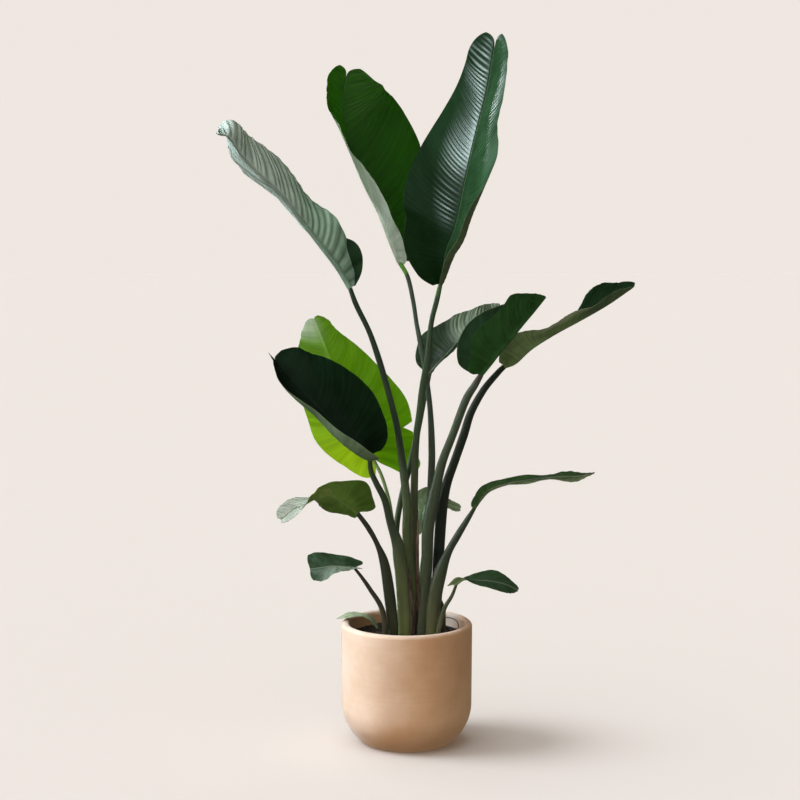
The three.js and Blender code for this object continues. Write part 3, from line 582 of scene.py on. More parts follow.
        "sweep": [-30, 0, 12, 18, 20], "rib": 3.5,
        "left": {"half": [24, 42, 44, 38, 38, 40, 34, 26, 10], "fold": [10, 5, 0, 0, 0], "wave": (3, 3, 0)},
        "right": {"half": [24, 44, 44, 40, 40, 40, 38, 28, 10], "fold": [20, 10, 5, 5, 0],
                  "wave": (3, 3, 0.3)},
        "pleat": (0.4, 9), "top": (44, 67, 30), "under": (104, 108, 74), "glow": 0.2,
        "rib_tint": (112, 108, 84), "rib_width": 2.4,
        "light_and_tint_washes": [("top", (0.25, 0.45), (0.2, 0.6), (84, 92, 62))],
    },
    "low_left": {
        "stalk": [[-28, -52, 246], [-36, -54, 328], [-48, -58, 408], [-64, -62, 454], [-84, -66, 492]],
        "girth": [11, 13, 11, 6, 6, 5],
        "midrib": [[-108, -70, 526], [-140, -84, 552], [-168, -94, 568], [-194, -100, 564],
                   [-218, -104, 552], [-246, -106, 538], [-272, -104, 516]],
        "facing": [[10, 85, 50], [10, 85, 50], [10, 70, 70], [0, 10, 100], [-20, -70, 70], [-30, -80, 50]],
        "sweep": [-45, -10, 10, 20, 26], "rib": 3.5,
        "left": {"half": [30, 50, 70, 42, 28, 26, 24, 20, 12], "fold": [10, 10], "curl": [10, 10],
                 "wave": (2, 2, 0.3)},
        "right": {"half": [14, 32, 56, 66, 56, 36, 28, 26, 16], "fold": [10, 10], "curl": [10, 10],
                  "wave": (2, 2, 0)},
        # The pale top colour is a painted sheen.
        "pleat": (0.4, 9), "top": (178, 184, 170), "under": (104, 128, 62), "glow": 0.26,
        "rib_tint": (120, 140, 84),
        "light_and_tint_washes": [("under", (0.28, 0.4), None, (134, 148, 84)),
                   ("under", (0.3, 0.2), (-0.2, -0.5), (88, 104, 50))],
    },
    "small_left": {
        "stalk": [[-46, -64, 242], [-54, -66, 310], [-80, -70, 356], [-98, -76, 384]],
        "girth": [6, 6, 5, 4, 3],
        "midrib": [[-116, -80, 408], [-136, -88, 411], [-164, -96, 414], [-186, -104, 412],
                   [-210, -110, 410]],
        "facing": [[10, -50, 80], [-10, -75, 65], [-20, -85, 50]],
        "sweep": [-60, -10, 10, 10, 10], "lobes": 8, "rib": 2.5,
        "left": {"half": [10, 14, 28, 34, 30], "fold": [30, 10, 10], "wave": (3, 2, 0.3)},
        "right": {"half": [14, 26, 30, 36, 30], "fold": [20, 10, 10], "wave": (4, 2, 0)},
        "pleat": (0.35, 7), "top": (58, 86, 60), "under": (96, 112, 84), "glow": 0.1,
        "rib_tint": (130, 150, 120),
        # Painted highlight: the top wash turns the base of the left half pale.
        "light_and_tint_washes": [("top", (0.8, 0.4), (0.1, -0.1), (132, 150, 132))],
    },
    "small_right": {
        "stalk": [[66, -62, 242], [80, -70, 308], [98, -80, 344]],
        "girth": [6, 5, 4, 3],
        "midrib": [[108, -90, 372], [124, -96, 384], [148, -104, 384], [180, -112, 384], [212, -118, 378],
                   [240, -122, 366]],
        "facing": [[0, 30, 95], [0, -20, 95], [0, -60, 80], [20, -70, 70], [30, -70, 60]],
        "sweep": [-60, -20, 10, 20, 20], "rib": 2.5,
        "left": {"half": [14, 9, 18, 28, 22, 14, 5], "fold": [30, 20, 10, 10], "wave": (2, 3, 0.3)},
        "right": {"half": [14, 18, 22, 26, 28, 20, 6], "fold": [30, 20, 10, 10], "wave": (2, 2, 0)},
        "pleat": (0.3, 7), "top": (42, 60, 40), "under": (150, 176, 130), "glow": 0.15,
        "rib_tint": (92, 102, 82),
    },
    "small_back": {
        "stalk": [[24, 84, 230], [32, 86, 344], [42, 90, 430]],
        "girth": [7, 7, 4, 3],
        "midrib": [[40, 92, 468], [36, 94, 500], [52, 98, 524], [80, 106, 520], [122, 116, 504]],
        "facing": [[-50, -70, 30], [-40, -80, 40], [20, -50, 85], [40, -40, 80]],
        "sweep": [-40, 0, 12, 18, 26], "lobes": 8, "rib": 2.5,
        "left": {"half": [20, 34, 34, 22, 8], "fold": [20, 10, 10], "wave": (3, 2, 0.3)},
        "right": {"half": [14, 20, 24, 20, 8], "fold": [20, 10, 10], "wave": (3, 2, 0)},
        "pleat": (0.35, 7), "top": (140, 164, 124), "under": (108, 128, 96), "glow": 0.12,
    },
    "over_rim": {
        "stalk": [[-58, 40, 228]],
        "girth": [4, 3],
        "midrib": [[-68, 43, 246], [-84, 40, 268], [-104, 34, 277], [-128, 24, 279], [-156, 14, 272]],
        "facing": [[40, -20, 90], [10, -10, 100], [0, 0, 100], [-20, 0, 100]],
        "sweep": [-40, 0, 12, 18, 26], "rib": 1.5,
        "left": {"half": [8, 20, 22, 18, 6], "fold": [10, 0, 0], "wave": (1, 2, 0.3)},
        "right": {"half": [8, 18, 20, 16, 6], "fold": [10, 0, 0], "wave": (1, 2, 0)},
        "pleat": (0.3, 6), "top": (164, 178, 142), "under": (160, 172, 132), "glow": 0.1,
    },
}
print("leaves:", len(LEAVES))

# %% [markdown]
# A blade is worked out like a map: one number runs from base to tip, another from the left margin over
# the midrib to the right margin. Each half leaves the midrib at its fold angle and turns on by its curl.
# On top of that come the long waves of the margin, as in the frame's solid. The base and the tip are
# round, and a leaf may be torn at its margin.

# %% The shape of a blade
BASE_ROUND, BASE_NARROWS = 0.05, 0.7
TIP_ROUND, TIP_NARROWS = 0.08, 0.8
END_LOBES = 0.1
NARROWEST_HALF = 3
WAVE_GROWS = 6


def end_round(u):
    base = np.clip(1 - u / BASE_ROUND, 0, 1)
    tip = np.clip((u - 1 + TIP_ROUND) / TIP_ROUND, 0, 1)
    return np.sqrt(1 - BASE_NARROWS * base**2) * np.sqrt(1 - TIP_NARROWS * tip**2)


def half_width(half, u):
    width = np.maximum(through(half["half"], u), NARROWEST_HALF) * end_round(u)
    for place, reach, depth in half.get("tears", []):
        width = width * (1 - depth * np.clip(1 - abs(u - place) / reach, 0, 1))
    return width


def blade_frame(leaf, u):
    """Along the midrib: the point, the ways forward, up from the face and to the right, and the length."""
    origin, forward, length, _ = even_steps(leaf["midrib"], u)
    up = through(leaf["facing"], u)
    up = unit(up - (up * forward).sum(-1, keepdims=True) * forward)
    return origin, forward, up, np.cross(forward, up), length


def blade_half(leaf, half, side, u, share):
    """Points of one half, the direction out of its upper face, and the distance from the midrib."""
    origin, forward, up, right, _ = blade_frame(leaf, u)
    fold = np.radians(through(half["fold"], u))
    curl = np.radians(through(half.get("curl", [0, 0]), u))
    bend = np.where(abs(curl) < 1e-4, 1e-4, curl) * np.maximum(share, 1e-4)
    angle = fold + bend
    reach = half_width(half, u) * share
    across = reach * (np.sin(angle) - np.sin(fold)) / bend
    rise = reach * (np.cos(fold) - np.cos(angle)) / bend
    out = up * np.cos(angle)[..., None] - side * right * np.sin(angle)[..., None]
    lean = np.tan(np.radians(through(leaf["sweep"], u))) * reach * (0.3 + 0.7 * share)
    tip = np.clip((u - 1 + END_LOBES) / END_LOBES, 0, 1)
    base = np.clip(1 - u / END_LOBES, 0, 1)
    lean = lean + (leaf.get("crack", 0) * tip - leaf.get("lobes", 0) * base) * (2 * np.sqrt(share) - share)
    height, count, start = half["wave"]
    wave = height * share**2 * np.sin(2 * np.pi * (count * u + start)) * np.minimum(u * WAVE_GROWS, 1)
    points = (origin + side * right * across[..., None] + up * rise[..., None]
              + forward * lean[..., None] + out * wave[..., None])
    return points, out, reach


print("blade shape ready")

# %% [markdown]
# The fine piece is laid out in rows and columns. A few columns lie close to the midrib, where the groove
# and the rib turn tightly, and the rest are spread out to the margin. The rows run as the side veins do,
# moved on towards the tip, so that the pleats follow them. To both faces this adds what only the fine
# piece has: pleats between the side veins, small ripples at the margin, a groove over the midrib and a
# rounded rib under it. Each point keeps the numbers that the finish reads.

# %% Rows and columns of a blade
BLADE_THICKNESS = 0.8
GROOVE_DEPTH, GROOVE_WIDTH = 0.9, 1.6
RIB_HALF_WIDTH, RIB_TAPER, SLIM_RIB = 5.0, 0.8, 3
PLEATS_START, PLEATS_GROW_OVER, PLEAT_FADE = 3, 14, 0.45
PLEAT_WANDER, PLEAT_STRENGTH, PLEAT_VARIES = 0.5, 0.8, 0.45
RIPPLE_HEIGHT = 1.3
ROW_STEP, FEWEST_ROWS, MOST_ROWS = 1.5, 60, 380
NEAR_MIDRIB, SPREAD_COLUMNS, SLIM_COLUMNS = (0.12, 0.26, 0.42, 0.62, 0.85), 11, 7
VEIN_SLANT = 0.6


def slanted(half, u, share, length):
    """Places along the midrib for the points of a row, moved on towards the tip as a side vein runs."""
    width = through(half["half"], u)
    on = VEIN_SLANT * (0.5 + u) * width / length * np.sin(np.pi * u)
    return np.clip(u[:, None] + on[:, None] * share * (0.6 + 0.4 * share), 0, 1)


def half_columns(width, count):
    """Shares of the half width: a few close to the midrib at fixed distances, and the rest spread out."""
    near = np.array(NEAR_MIDRIB) * RIB_HALF_WIDTH
    inner = near[None] / np.maximum(width[:, None], 2 * RIB_HALF_WIDTH)
    last = inner[:, -1:]
    steps = np.linspace(0, 1, count + 1)[None, 1:]
    return np.hstack([inner, last + (1 - last) * steps])


def smooth_random(rng, u, knots, size):
    return through(rng.uniform(-size, size, knots), u)


def blade_grid(name, leaf):
    """Upper and under points of the whole blade in rows and columns, and what its finish reads."""
    rng = np.random.default_rng(sum(map(ord, name)))
    _, _, length, _ = even_steps(leaf["midrib"], np.linspace(0, 1, 3))
    rows = int(np.clip(length / ROW_STEP, FEWEST_ROWS, MOST_ROWS))
    u = np.linspace(0, 1, rows)
    origin, _, up, _, _ = blade_frame(leaf, u)
    depth, spacing = leaf["pleat"]
    phase = u * length / spacing + smooth_random(rng, u, 16, PLEAT_WANDER)
    strength = PLEAT_STRENGTH + smooth_random(rng, u, 12, PLEAT_VARIES)
    uneven = 0.5 * np.cos(2 * np.pi * (0.43 * phase + smooth_random(rng, u, 10, 0.3)))
    rib_height = (leaf["rib"] * (1 - u) ** RIB_TAPER)[:, None]
    columns = SLIM_COLUMNS if leaf["rib"] < SLIM_RIB else SPREAD_COLUMNS
    halves = []
    for side, half in ((-1, leaf["left"]), (1, leaf["right"])):
        share = half_columns(half_width(half, u), columns)
        points, out, reach = blade_half(leaf, half, side, slanted(half, u, share, length), share)
        ripple_phase = 2 * np.pi * (u * (9 + 3 * rng.random()) + rng.random())
        ripple = (np.sin(ripple_phase) * smooth_random(rng, u, 12, RIPPLE_HEIGHT))[:, None] * share**5
        own_phase = np.broadcast_to(phase[:, None] + 0.5 * (side > 0), share.shape)
        mask = np.clip((reach - PLEATS_START) / PLEATS_GROW_OVER, 0, 1) * (1 - PLEAT_FADE * share**3)
        swell = np.cos(2 * np.pi * own_phase) + side * uneven[:, None]
        pleats = depth * strength[:, None] * swell * mask
        groove = -GROOVE_DEPTH * np.exp(-(reach / GROOVE_WIDTH) ** 2)
        ridge = rib_height * np.clip(1 - (reach / RIB_HALF_WIDTH) ** 2, 0, 1) ** 0.7
        thin = BLADE_THICKNESS / 2 * (1 - 0.5 * share**8)
        upper = points + out * (thin + pleats + groove + ripple)[..., None]
        under = points - out * (thin - pleats + ridge - ripple)[..., None]
        halves.append((upper, under, own_phase, side * share, reach))
    middle_top = origin + up * (BLADE_THICKNESS / 2 - GROOVE_DEPTH)
    middle_under = origin - up * (rib_height + BLADE_THICKNESS / 2)
    zero = np.zeros((rows, 1))
    middle = (middle_top[:, None], middle_under[:, None], phase[:, None], zero, zero)
    joined = [np.concatenate([left[:, ::-1], centre, right], axis=1)
              for left, centre, right in zip(halves[0], middle, halves[1])]
    return [joined[0] * MM, joined[1] * MM, joined[2], joined[3], joined[4] * MM], u


print("blade grid ready")

# %% [markdown]
# Every piece ends the same way: its bmesh becomes an object, is shaded smooth, rides with the part and
# stands for its CAD node. Colours and numbers that a finish reads are written on the points of the mesh
# as attributes. A leaf's colours may have soft washes laid over them, which are painted light and shade
# on some leaves and other tints on others.

# %% Paint a mesh and make a piece


def write_points(mesh, name, values):
    """A number or a colour on every point of a mesh, under an attribute name that a finish reads."""
    kind, key = ("FLOAT_COLOR", "color") if values.ndim > 1 else ("FLOAT", "value")
    layer = mesh.attributes.new(name, kind, "POINT")
    layer.data.foreach_set(key, values.ravel())


def even_colour(mesh, name, colour):
    write_points(mesh, name, np.tile((*colour, 1), (len(mesh.vertices), 1)))


def fade(values, edges):
    """0 at the first edge and 1 at the second, smooth between, or 1 everywhere when no edges are given."""
    if edges is None:
        return np.ones(len(values))
    share = np.clip((values - edges[0]) / (edges[1] - edges[0]), 0, 1)
    return share * share * (3 - 2 * share)


def washed_colour(mesh, leaf, face):
    """The colour of a face on every point, with the leaf's soft washes over it, some painted light and
    shade, some tints.
    """
    sheet = np.empty(3 * len(mesh.vertices))
    mesh.attributes["sheet"].data.foreach_get("vector", sheet)
    across, along = sheet[1::3], sheet[2::3]
    colours = np.tile((*linear(*leaf[face]), 1), (len(across), 1))
    # Some washes are painted light and shade, and some are tints of the leaf.
    for washed_face, lengthwise, sideways, tint in leaf.get("light_and_tint_washes", []):
        if washed_face == face:
            amount = (fade(along, lengthwise) * fade(across, sideways))[:, None]
            colours[:, :3] += amount * (np.array(linear(*tint)) - colours[:, :3])
    write_points(mesh, "tint_" + face, colours)


def mesh_object(name, bm, finishes=()):
    """A bmesh made into an object of the scene."""
    mesh = bpy.data.meshes.new(name)
    bm.to_mesh(mesh)
    bm.free()
    for finish in finishes:
        mesh.materials.append(finish)
    made = bpy.data.objects.new(name, mesh)
    bpy.context.scene.collection.objects.link(made)
    return made


def make_piece(name, bm, finishes, slot, *nodes):
    """An object shaded smooth, that rides with the part and stands for its CAD nodes."""
    made = mesh_object(name, bm, finishes)
    made.data.shade_smooth()
    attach(made, "root")
    if nodes:
        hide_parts(*nodes)
    return made


print("pieces can be made")

# %% [markdown]
# The blade's mesh starts as a flat grid for each face. Each grid point is moved to its place on the map
# and keeps the numbers that the finish reads. A bridge between the two open borders closes the margin,
# and all faces are turned outwards, so the blade is one thin closed body with a crisp edge.

# %% Make a blade


def grid_index(place, count):
    """The row or column of a point of a new grid, which runs from -1 to 1."""
    return round((place + 1) / 2 * (count - 1))


def write_face(bm, grid, which, u, rib_width):
    """A grid of the bmesh that becomes one face of the blade."""
    rows, columns = grid[2].shape
    made = bmesh.ops.create_grid(bm, x_segments=rows - 1, y_segments=columns - 1, size=1.0)
    sheet = bm.verts.layers.float_vector["sheet"]
    reach = bm.verts.layers.float["reach"]
    for vertex in made["verts"]:
        i, j = grid_index(vertex.co.x, rows), grid_index(vertex.co.y, columns)
        vertex[sheet] = (grid[2][i, j], grid[3][i, j], u[i])
        vertex[reach] = grid[4][i, j] / rib_width
        vertex.co = grid[which][i, j]
    faces = {face for vertex in made["verts"] for face in vertex.link_faces}
    for face in faces:
        face.material_index = which
    return [edge for edge in {e for f in faces for e in f.edges} if edge.is_boundary]


def make_blade(name, leaf):
    grid, u = blade_grid(name, leaf)
    bm = bmesh.new()
    bm.verts.layers.float_vector.new("sheet")
    bm.verts.layers.float.new("reach")
    rib_width = leaf.get("rib_width", 1)
    border = [edge for which in (0, 1) for edge in write_face(bm, grid, which, u, rib_width)]
    rim = bmesh.ops.bridge_loops(bm, edges=border)
    for face in rim["faces"]:
        face.material_index = 1
    for edge in border:
        edge.smooth = False
    bmesh.ops.recalc_face_normals(bm, faces=bm.faces)
    finishes = leaf_finishes[leaf.get("age", "old")]
    made = make_piece("leaf_" + name, bm, finishes, "leaf", "blade_" + name)
    mesh = made.data
    washed_colour(mesh, leaf, "top")
    washed_colour(mesh, leaf, "under")
    rib_tint = leaf.get("rib_tint", [1.3 * level + 8 for level in leaf["top"]])
    even_colour(mesh, "tint_rib", linear(*rib_tint))
    # Glow is how much light the blade lets through, and the fold shade how dark the painted shade in its
    # folds is.
    for key, value in (("glow", leaf["glow"]), ("fold_shade", leaf.get("fold_shade", 0.25))):
        write_points(mesh, key, np.full(len(mesh.vertices), value))
    return made


blades = [make_blade(name, leaf) for name, leaf in LEAVES.items()]
print("blades:", len(blades), "faces", sum(len(blade.data.polygons) for blade in blades))

# %% [markdown]
# A stalk starts as a cylinder whose long edges are cut into many short ones, so that it can be bent along
# its route. It is oval, and the side towards the tip of its leaf has a channel between two raised edges.
# The channel is deepest near the soil, where the stalks wrap each other as sheaths.

# %% Bend a tube
STALK_FLATNESS = 0.8
CHANNEL_TURN = 0.42
EDGE_PLACE, EDGE_TURN, EDGE_RISE = 0.85, 0.22, 0.10


def bent_tube(route, girth, sides, step, channel=0.0, towards=None):
    """A closed tube of oval section bent along a route, with a channel on the side that it is told."""
    _, _, length, _ = even_steps(route, np.linspace(0, 1, 3))
    rows = max(int(length / step), 4)
    bm = bmesh.new()
    sheet = bm.verts.layers.float_vector.new("sheet")
    bmesh.ops.create_cone(bm, cap_ends=True, cap_tris=False, segments=sides, radius1=1, radius2=1, depth=1)
    upright = [e for e in bm.edges if abs(e.verts[0].co.z - e.verts[1].co.z) > 0.5]
    bmesh.ops.subdivide_edges(bm, edges=upright, cuts=rows - 1, use_grid_fill=True)
    local = np.array([vertex.co[:] for vertex in bm.verts])
    share = local[:, 2] + 0.5
    centre, forward, length, places = even_steps(route, share)
    wide = unit(np.cross(forward, np.array([0.0, 1.0, 0.0])))
    deep = np.cross(wide, forward)
    radius = through(girth, places) if isinstance(girth, list) else np.full(len(share), float(girth))
    angle = np.arctan2(local[:, 1], local[:, 0])
    if towards is not None:
        aim = math.atan2(towards[1], towards[0])
        off = (angle - aim + np.pi) % (2 * np.pi) - np.pi
        open_share = channel * (0.6 + 0.4 * np.clip(1 - share * 3, 0, 1))
        edges = EDGE_RISE * channel * np.exp(-((abs(off) - EDGE_PLACE) / EDGE_TURN) ** 2)
        radius = radius * (1 - open_share * np.exp(-(off / CHANNEL_TURN) ** 2) + edges)
    placed = (centre + wide * (np.cos(angle) * radius)[:, None]
              + deep * (np.sin(angle) * radius * STALK_FLATNESS)[:, None])
    for vertex, point, turn, part in zip(bm.verts, placed * MM, angle, share):
        vertex.co = point
        vertex[sheet] = (abs(turn) / math.pi, part * length * MM, part)
    bmesh.ops.recalc_face_normals(bm, faces=bm.faces)
    return bm


print("tubes can be bent")

# %% [markdown]
# A stalk runs from below the soil to its blade, through the same points as the frame's solid. It has one
# green above and another at its foot, and a few end in a collar of a third one under the blade.

# %% Stalks
ROOT_LEVEL = 194
BLADE_GAP = 0.6
SLIM_GIRTH, STALK_STEP = 7, 4.0
STALK_TINTS = {
    "top_right": ((60, 80, 54), (106, 104, 72)), "top_left": ((66, 82, 66), (70, 76, 52)),
    "far_left": ((44, 60, 42), (108, 122, 76)), "mid_left_front": ((52, 64, 44), (104, 114, 66)),
    "mid_left_back": ((92, 118, 40), (84, 96, 50)), "mid_right_back": ((72, 90, 56), (70, 80, 50)),
    "mid_right_folded": ((66, 80, 58), (68, 76, 54)), "far_right": ((42, 54, 38), (32, 40, 28)),
    "low_right": ((56, 66, 48), (90, 94, 60)), "low_left": ((50, 52, 36), (44, 54, 30)),
    "small_left": ((58, 56, 40), (66, 66, 46)), "small_right": ((74, 80, 52), (82, 88, 56)),
    "small_back": ((90, 112, 76), (84, 92, 56)), "over_rim": ((112, 120, 74), (96, 96, 60)),
}
COLLARS = {"top_right": (74, 106, 58), "top_left": (96, 158, 44), "mid_right_folded": (70, 66, 50)}


def stalk_route(leaf):
    x, y, _ = leaf["stalk"][0]
    before, base = np.array(leaf["stalk"][-1], float), np.array(leaf["midrib"][0], float)
    end = base - unit(base - before) * BLADE_GAP
    return [[x, y, ROOT_LEVEL], *leaf["stalk"], end.tolist()]


def paint_stalk(made, top, foot, collar):
    for name, tint in (("tint_top", top), ("tint_under", foot), ("tint_collar", collar)):
        even_colour(made.data, name, linear(*tint))


def make_stalk(name, leaf):
    girth = [leaf["girth"][0], *leaf["girth"]]
    sides, channel = (16, 0.10) if max(girth) < SLIM_GIRTH else (28, 0.22)
    tip = leaf["midrib"][-1]
    towards = (tip[0] - leaf["stalk"][0][0], 0.4 * tip[1])
    bm = bent_tube(stalk_route(leaf), girth, sides, STALK_STEP, channel, towards)
    made = make_piece("petiole_" + name, bm, (stalk_green,), "stalk", "stalk_" + name)
    top, foot = STALK_TINTS[name]
    paint_stalk(made, top, foot, COLLARS.get(name, top))
    return made


stalks = [make_stalk(name, leaf) for name, leaf in LEAVES.items()]
print("stalks:", len(stalks), "faces", sum(len(stalk.data.polygons) for stalk in stalks))

# %% [markdown]
# Old growth stands among the stalks: two dried sheath edges that curl like paper, a short cut stalk and a
# thin dry stem that lies bent on the soil. The sheaths are narrow sheets with a frayed edge, and the
# other two are bent tubes.

# %% Old growth
DRY_SHEATHS = {
    "dry_sheath_left": {
        "route": [[13, -15, 200], [14, -15, 256], [12, -16, 322], [2, -17, 386], [-9, -20, 443]],
        "width": [7, 8, 7, 6, 2], "facing": [[20, -100, 0], [-20, -100, 0]]},
    "dry_sheath_middle": {
        "route": [[24, 4, 200], [25, 4, 300], [24, 2, 400], [25, 0, 500]],
        "width": [9, 10, 8, 3], "facing": [[0, -100, 0], [0, -100, 0]]},
}
CUT_STALK = {"route": [[78, -8, 194], [80, -8, 250], [80, -8, 296], [77, -8, 318]],
             "girth": [6, 6.5, 6, 2.5]}
DRY_STEM = {"route": [[84, 54, 232], [86, 54, 262], [100, 42, 267], [113, 26, 263], [117, 16, 250]],
            "girth": 1.2}
STRIP_THICKNESS, STRIP_ROWS, STRIP_COLUMNS = 0.7, 90, 9
STRIP_ARCH, CRINKLE_DEPTH, FRAYING = 0.3, 0.25, 0.14


def make_dry_sheath(name, sheath):
    rng = np.random.default_rng(len(name))
    u = np.linspace(0, 1, STRIP_ROWS)
    centre, forward, _, _ = even_steps(sheath["route"], u)
    up = through(sheath["facing"], u)
    up = unit(up - (up * forward).sum(1, keepdims=True) * forward)
    right = np.cross(forward, up)
    frayed = 1 + smooth_random(rng, u, 30, FRAYING)
    half = through(sheath["width"], u) / 2 * frayed
    bm = bmesh.new()
    made = bmesh.ops.create_grid(bm, x_segments=STRIP_ROWS - 1, y_segments=STRIP_COLUMNS - 1, size=1.0)
    for vertex in made["verts"]:
        i = grid_index(vertex.co.x, STRIP_ROWS)
        v = vertex.co.y
        crinkle = CRINKLE_DEPTH * math.sin(23 * v + 60 * u[i]) * (1 - abs(v))
        place = centre[i] + right[i] * v * half[i] - up[i] * (v * v * half[i] * STRIP_ARCH - crinkle)
        vertex.co = place * MM
    bmesh.ops.recalc_face_normals(bm, faces=bm.faces)
    bmesh.ops.solidify(bm, geom=bm.faces[:], thickness=STRIP_THICKNESS * MM)
    bmesh.ops.recalc_face_normals(bm, faces=bm.faces)
    return make_piece(name + "_strip", bm, (dried_brown,), "dried", name)


old_pieces = [make_dry_sheath(name, sheath) for name, sheath in DRY_SHEATHS.items()]
stub = bent_tube(CUT_STALK["route"], CUT_STALK["girth"], 20, 3.0, 0.15, (1, 0.2))
old_pieces.append(make_piece("cut_stalk_stub", stub, (stalk_green,), "stalk", "cut_stalk"))
paint_stalk(old_pieces[-1], (46, 52, 32), (64, 62, 40), (74, 60, 42))
twig = bent_tube(DRY_STEM["route"], DRY_STEM["girth"], 10, 1.5)
old_pieces.append(make_piece("dry_stem_twig", twig, (dried_brown,), "dried", "dry_stem"))
print("old pieces:", [piece.name for piece in old_pieces])

# %% [markdown]
# The pot was turned on a wheel, so it is made the same way: the outline of its wall is drawn once and
# spun round the axis. The outline has a straight side, a wide round corner above a flat foot, a rounded
# lip, and the same corner again inside. The drain holes are cut with a Boolean modifier, which is applied
# at once.

# %% The pot
POT_HEIGHT, RIM_RADIUS, SIDE_RADIUS = 269, 146, 145
CORNER_RADIUS, CORNER_CENTRE_HEIGHT = 106, 87
WALL, POT_FLOOR = 18, 20
DRAIN_RADIUS, DRAIN_CIRCLE, DRAIN_COUNT = 7, 50, 4
TOUCH_GAP = 0.3
POT_STEPS, SOIL_STEPS = 160, 220


def corner_arc(radius, start, end, steps):
    centre_radius = SIDE_RADIUS - CORNER_RADIUS
    return [(centre_radius + radius * math.cos(a), CORNER_CENTRE_HEIGHT + radius * math.sin(a))
            for a in np.linspace(start, end, steps)]


def pot_outline():
    foot = math.asin(-CORNER_CENTRE_HEIGHT / CORNER_RADIUS)
    inner = CORNER_RADIUS - WALL
    floor_angle = math.asin((POT_FLOOR - CORNER_CENTRE_HEIGHT) / inner)
    lip = WALL / 2
    lip_arc = [(RIM_RADIUS - lip + lip * math.cos(a), POT_HEIGHT - lip + lip * math.sin(a))
               for a in np.linspace(0, math.pi, 17)]
    straight = POT_HEIGHT - lip - CORNER_CENTRE_HEIGHT
    side = [(SIDE_RADIUS + (RIM_RADIUS - SIDE_RADIUS) * s, CORNER_CENTRE_HEIGHT + straight * s)
            for s in np.linspace(0, 1, 12)[1:-1]]
    return [(0, 0), *corner_arc(CORNER_RADIUS, foot, 0, 25), *side, *lip_arc,
            *corner_arc(inner, 0, floor_angle, 17), (0, POT_FLOOR)]


def spun(outline, steps):
    """A body of revolution from an outline that starts and ends on the axis."""
    bm = bmesh.new()
    points = [bm.verts.new((r * MM, 0, z * MM)) for r, z in outline]
    edges = [bm.edges.new(pair) for pair in zip(points, points[1:])]
    bmesh.ops.spin(bm, geom=points + edges, cent=(0, 0, 0), axis=(0, 0, 1), angle=2 * math.pi, steps=steps,
                   use_merge=True)
    bmesh.ops.remove_doubles(bm, verts=bm.verts, dist=1e-6)
    bmesh.ops.recalc_face_normals(bm, faces=bm.faces)
    return bm


def apply_modifiers(obj):
    seen = obj.evaluated_get(bpy.context.evaluated_depsgraph_get())
    obj.data = bpy.data.meshes.new_from_object(seen)
    obj.modifiers.clear()


def make_pot():
    pot = make_piece("clay_pot", spun(pot_outline(), POT_STEPS), (clay,), "clay", "pot")
    drill = bmesh.new()
    for i in range(DRAIN_COUNT):
        angle = 2 * math.pi * (i + 0.5) / DRAIN_COUNT
        place = Vector((math.cos(angle), math.sin(angle), 0)) * DRAIN_CIRCLE * MM
        bmesh.ops.create_cone(drill, cap_ends=True, segments=32, radius1=DRAIN_RADIUS * MM,
                              radius2=DRAIN_RADIUS * MM, depth=0.1, matrix=Matrix.Translation(place))
    cutter = mesh_object("drill", drill)
    cut = pot.modifiers.new("drains", "BOOLEAN")
    cut.object = cutter
    cut.operation = "DIFFERENCE"
    cut.solver = "EXACT"
    apply_modifiers(pot)
    bpy.data.objects.remove(cutter)
    return pot


pot = make_pot()
print("pot faces:", len(pot.data.polygons))

# %% [markdown]
# The soil fills the pot to a few centimetres below the rim. It is spun like the pot, its top is pushed up
# and down by noise, and a few hundred loose crumbs lie on it. They are small icospheres, each stretched,
# turned and knocked out of round in its own way, and all of them are one piece.

# %% The soil
SOIL_TOP, SOIL_MOUND = 239, 4
LUMP_SCALE, LUMP_HEIGHT = 0.06, 2.6
CRUMB_COUNT, CRUMB_SIZES, CRUMB_ROUGHNESS = 420, (0.9, 3.2), 0.25
CRUMB_STRETCH = ((0.8, 1.9), (0.7, 1.1), (0.5, 0.9))
CRUMBS_OFF_WALL, CRUMB_RISE = 6, 0.25


def soil_height(r, x, y):
    share = r / (SIDE_RADIUS - WALL)
    lumps = noise.fractal(Vector((x, y, 0)) * LUMP_SCALE, 0.9, 2.1, 4)
    return SOIL_TOP + SOIL_MOUND * (1 - share * share) + LUMP_HEIGHT * lumps


def make_soil():
    wall = SIDE_RADIUS - WALL - TOUCH_GAP
    inner = CORNER_RADIUS - WALL - TOUCH_GAP
    floor_angle = math.asin((POT_FLOOR + TOUCH_GAP - CORNER_CENTRE_HEIGHT) / inner)
    arc = corner_arc(inner, floor_angle, 0, 10)
    top = [(wall * s, SOIL_TOP) for s in np.linspace(1, 0, 64)]
    bm = spun([(0, POT_FLOOR + TOUCH_GAP), *arc, (wall, SOIL_TOP - 12), *top], SOIL_STEPS)
    for vertex in bm.verts:
        if vertex.co.z > (SOIL_TOP - 1) * MM:
            x, y = vertex.co.x / MM, vertex.co.y / MM
            vertex.co.z = soil_height(math.hypot(x, y), x, y) * MM
    return make_piece("soil_bed", bm, (dark_soil,), "soil", "soil")


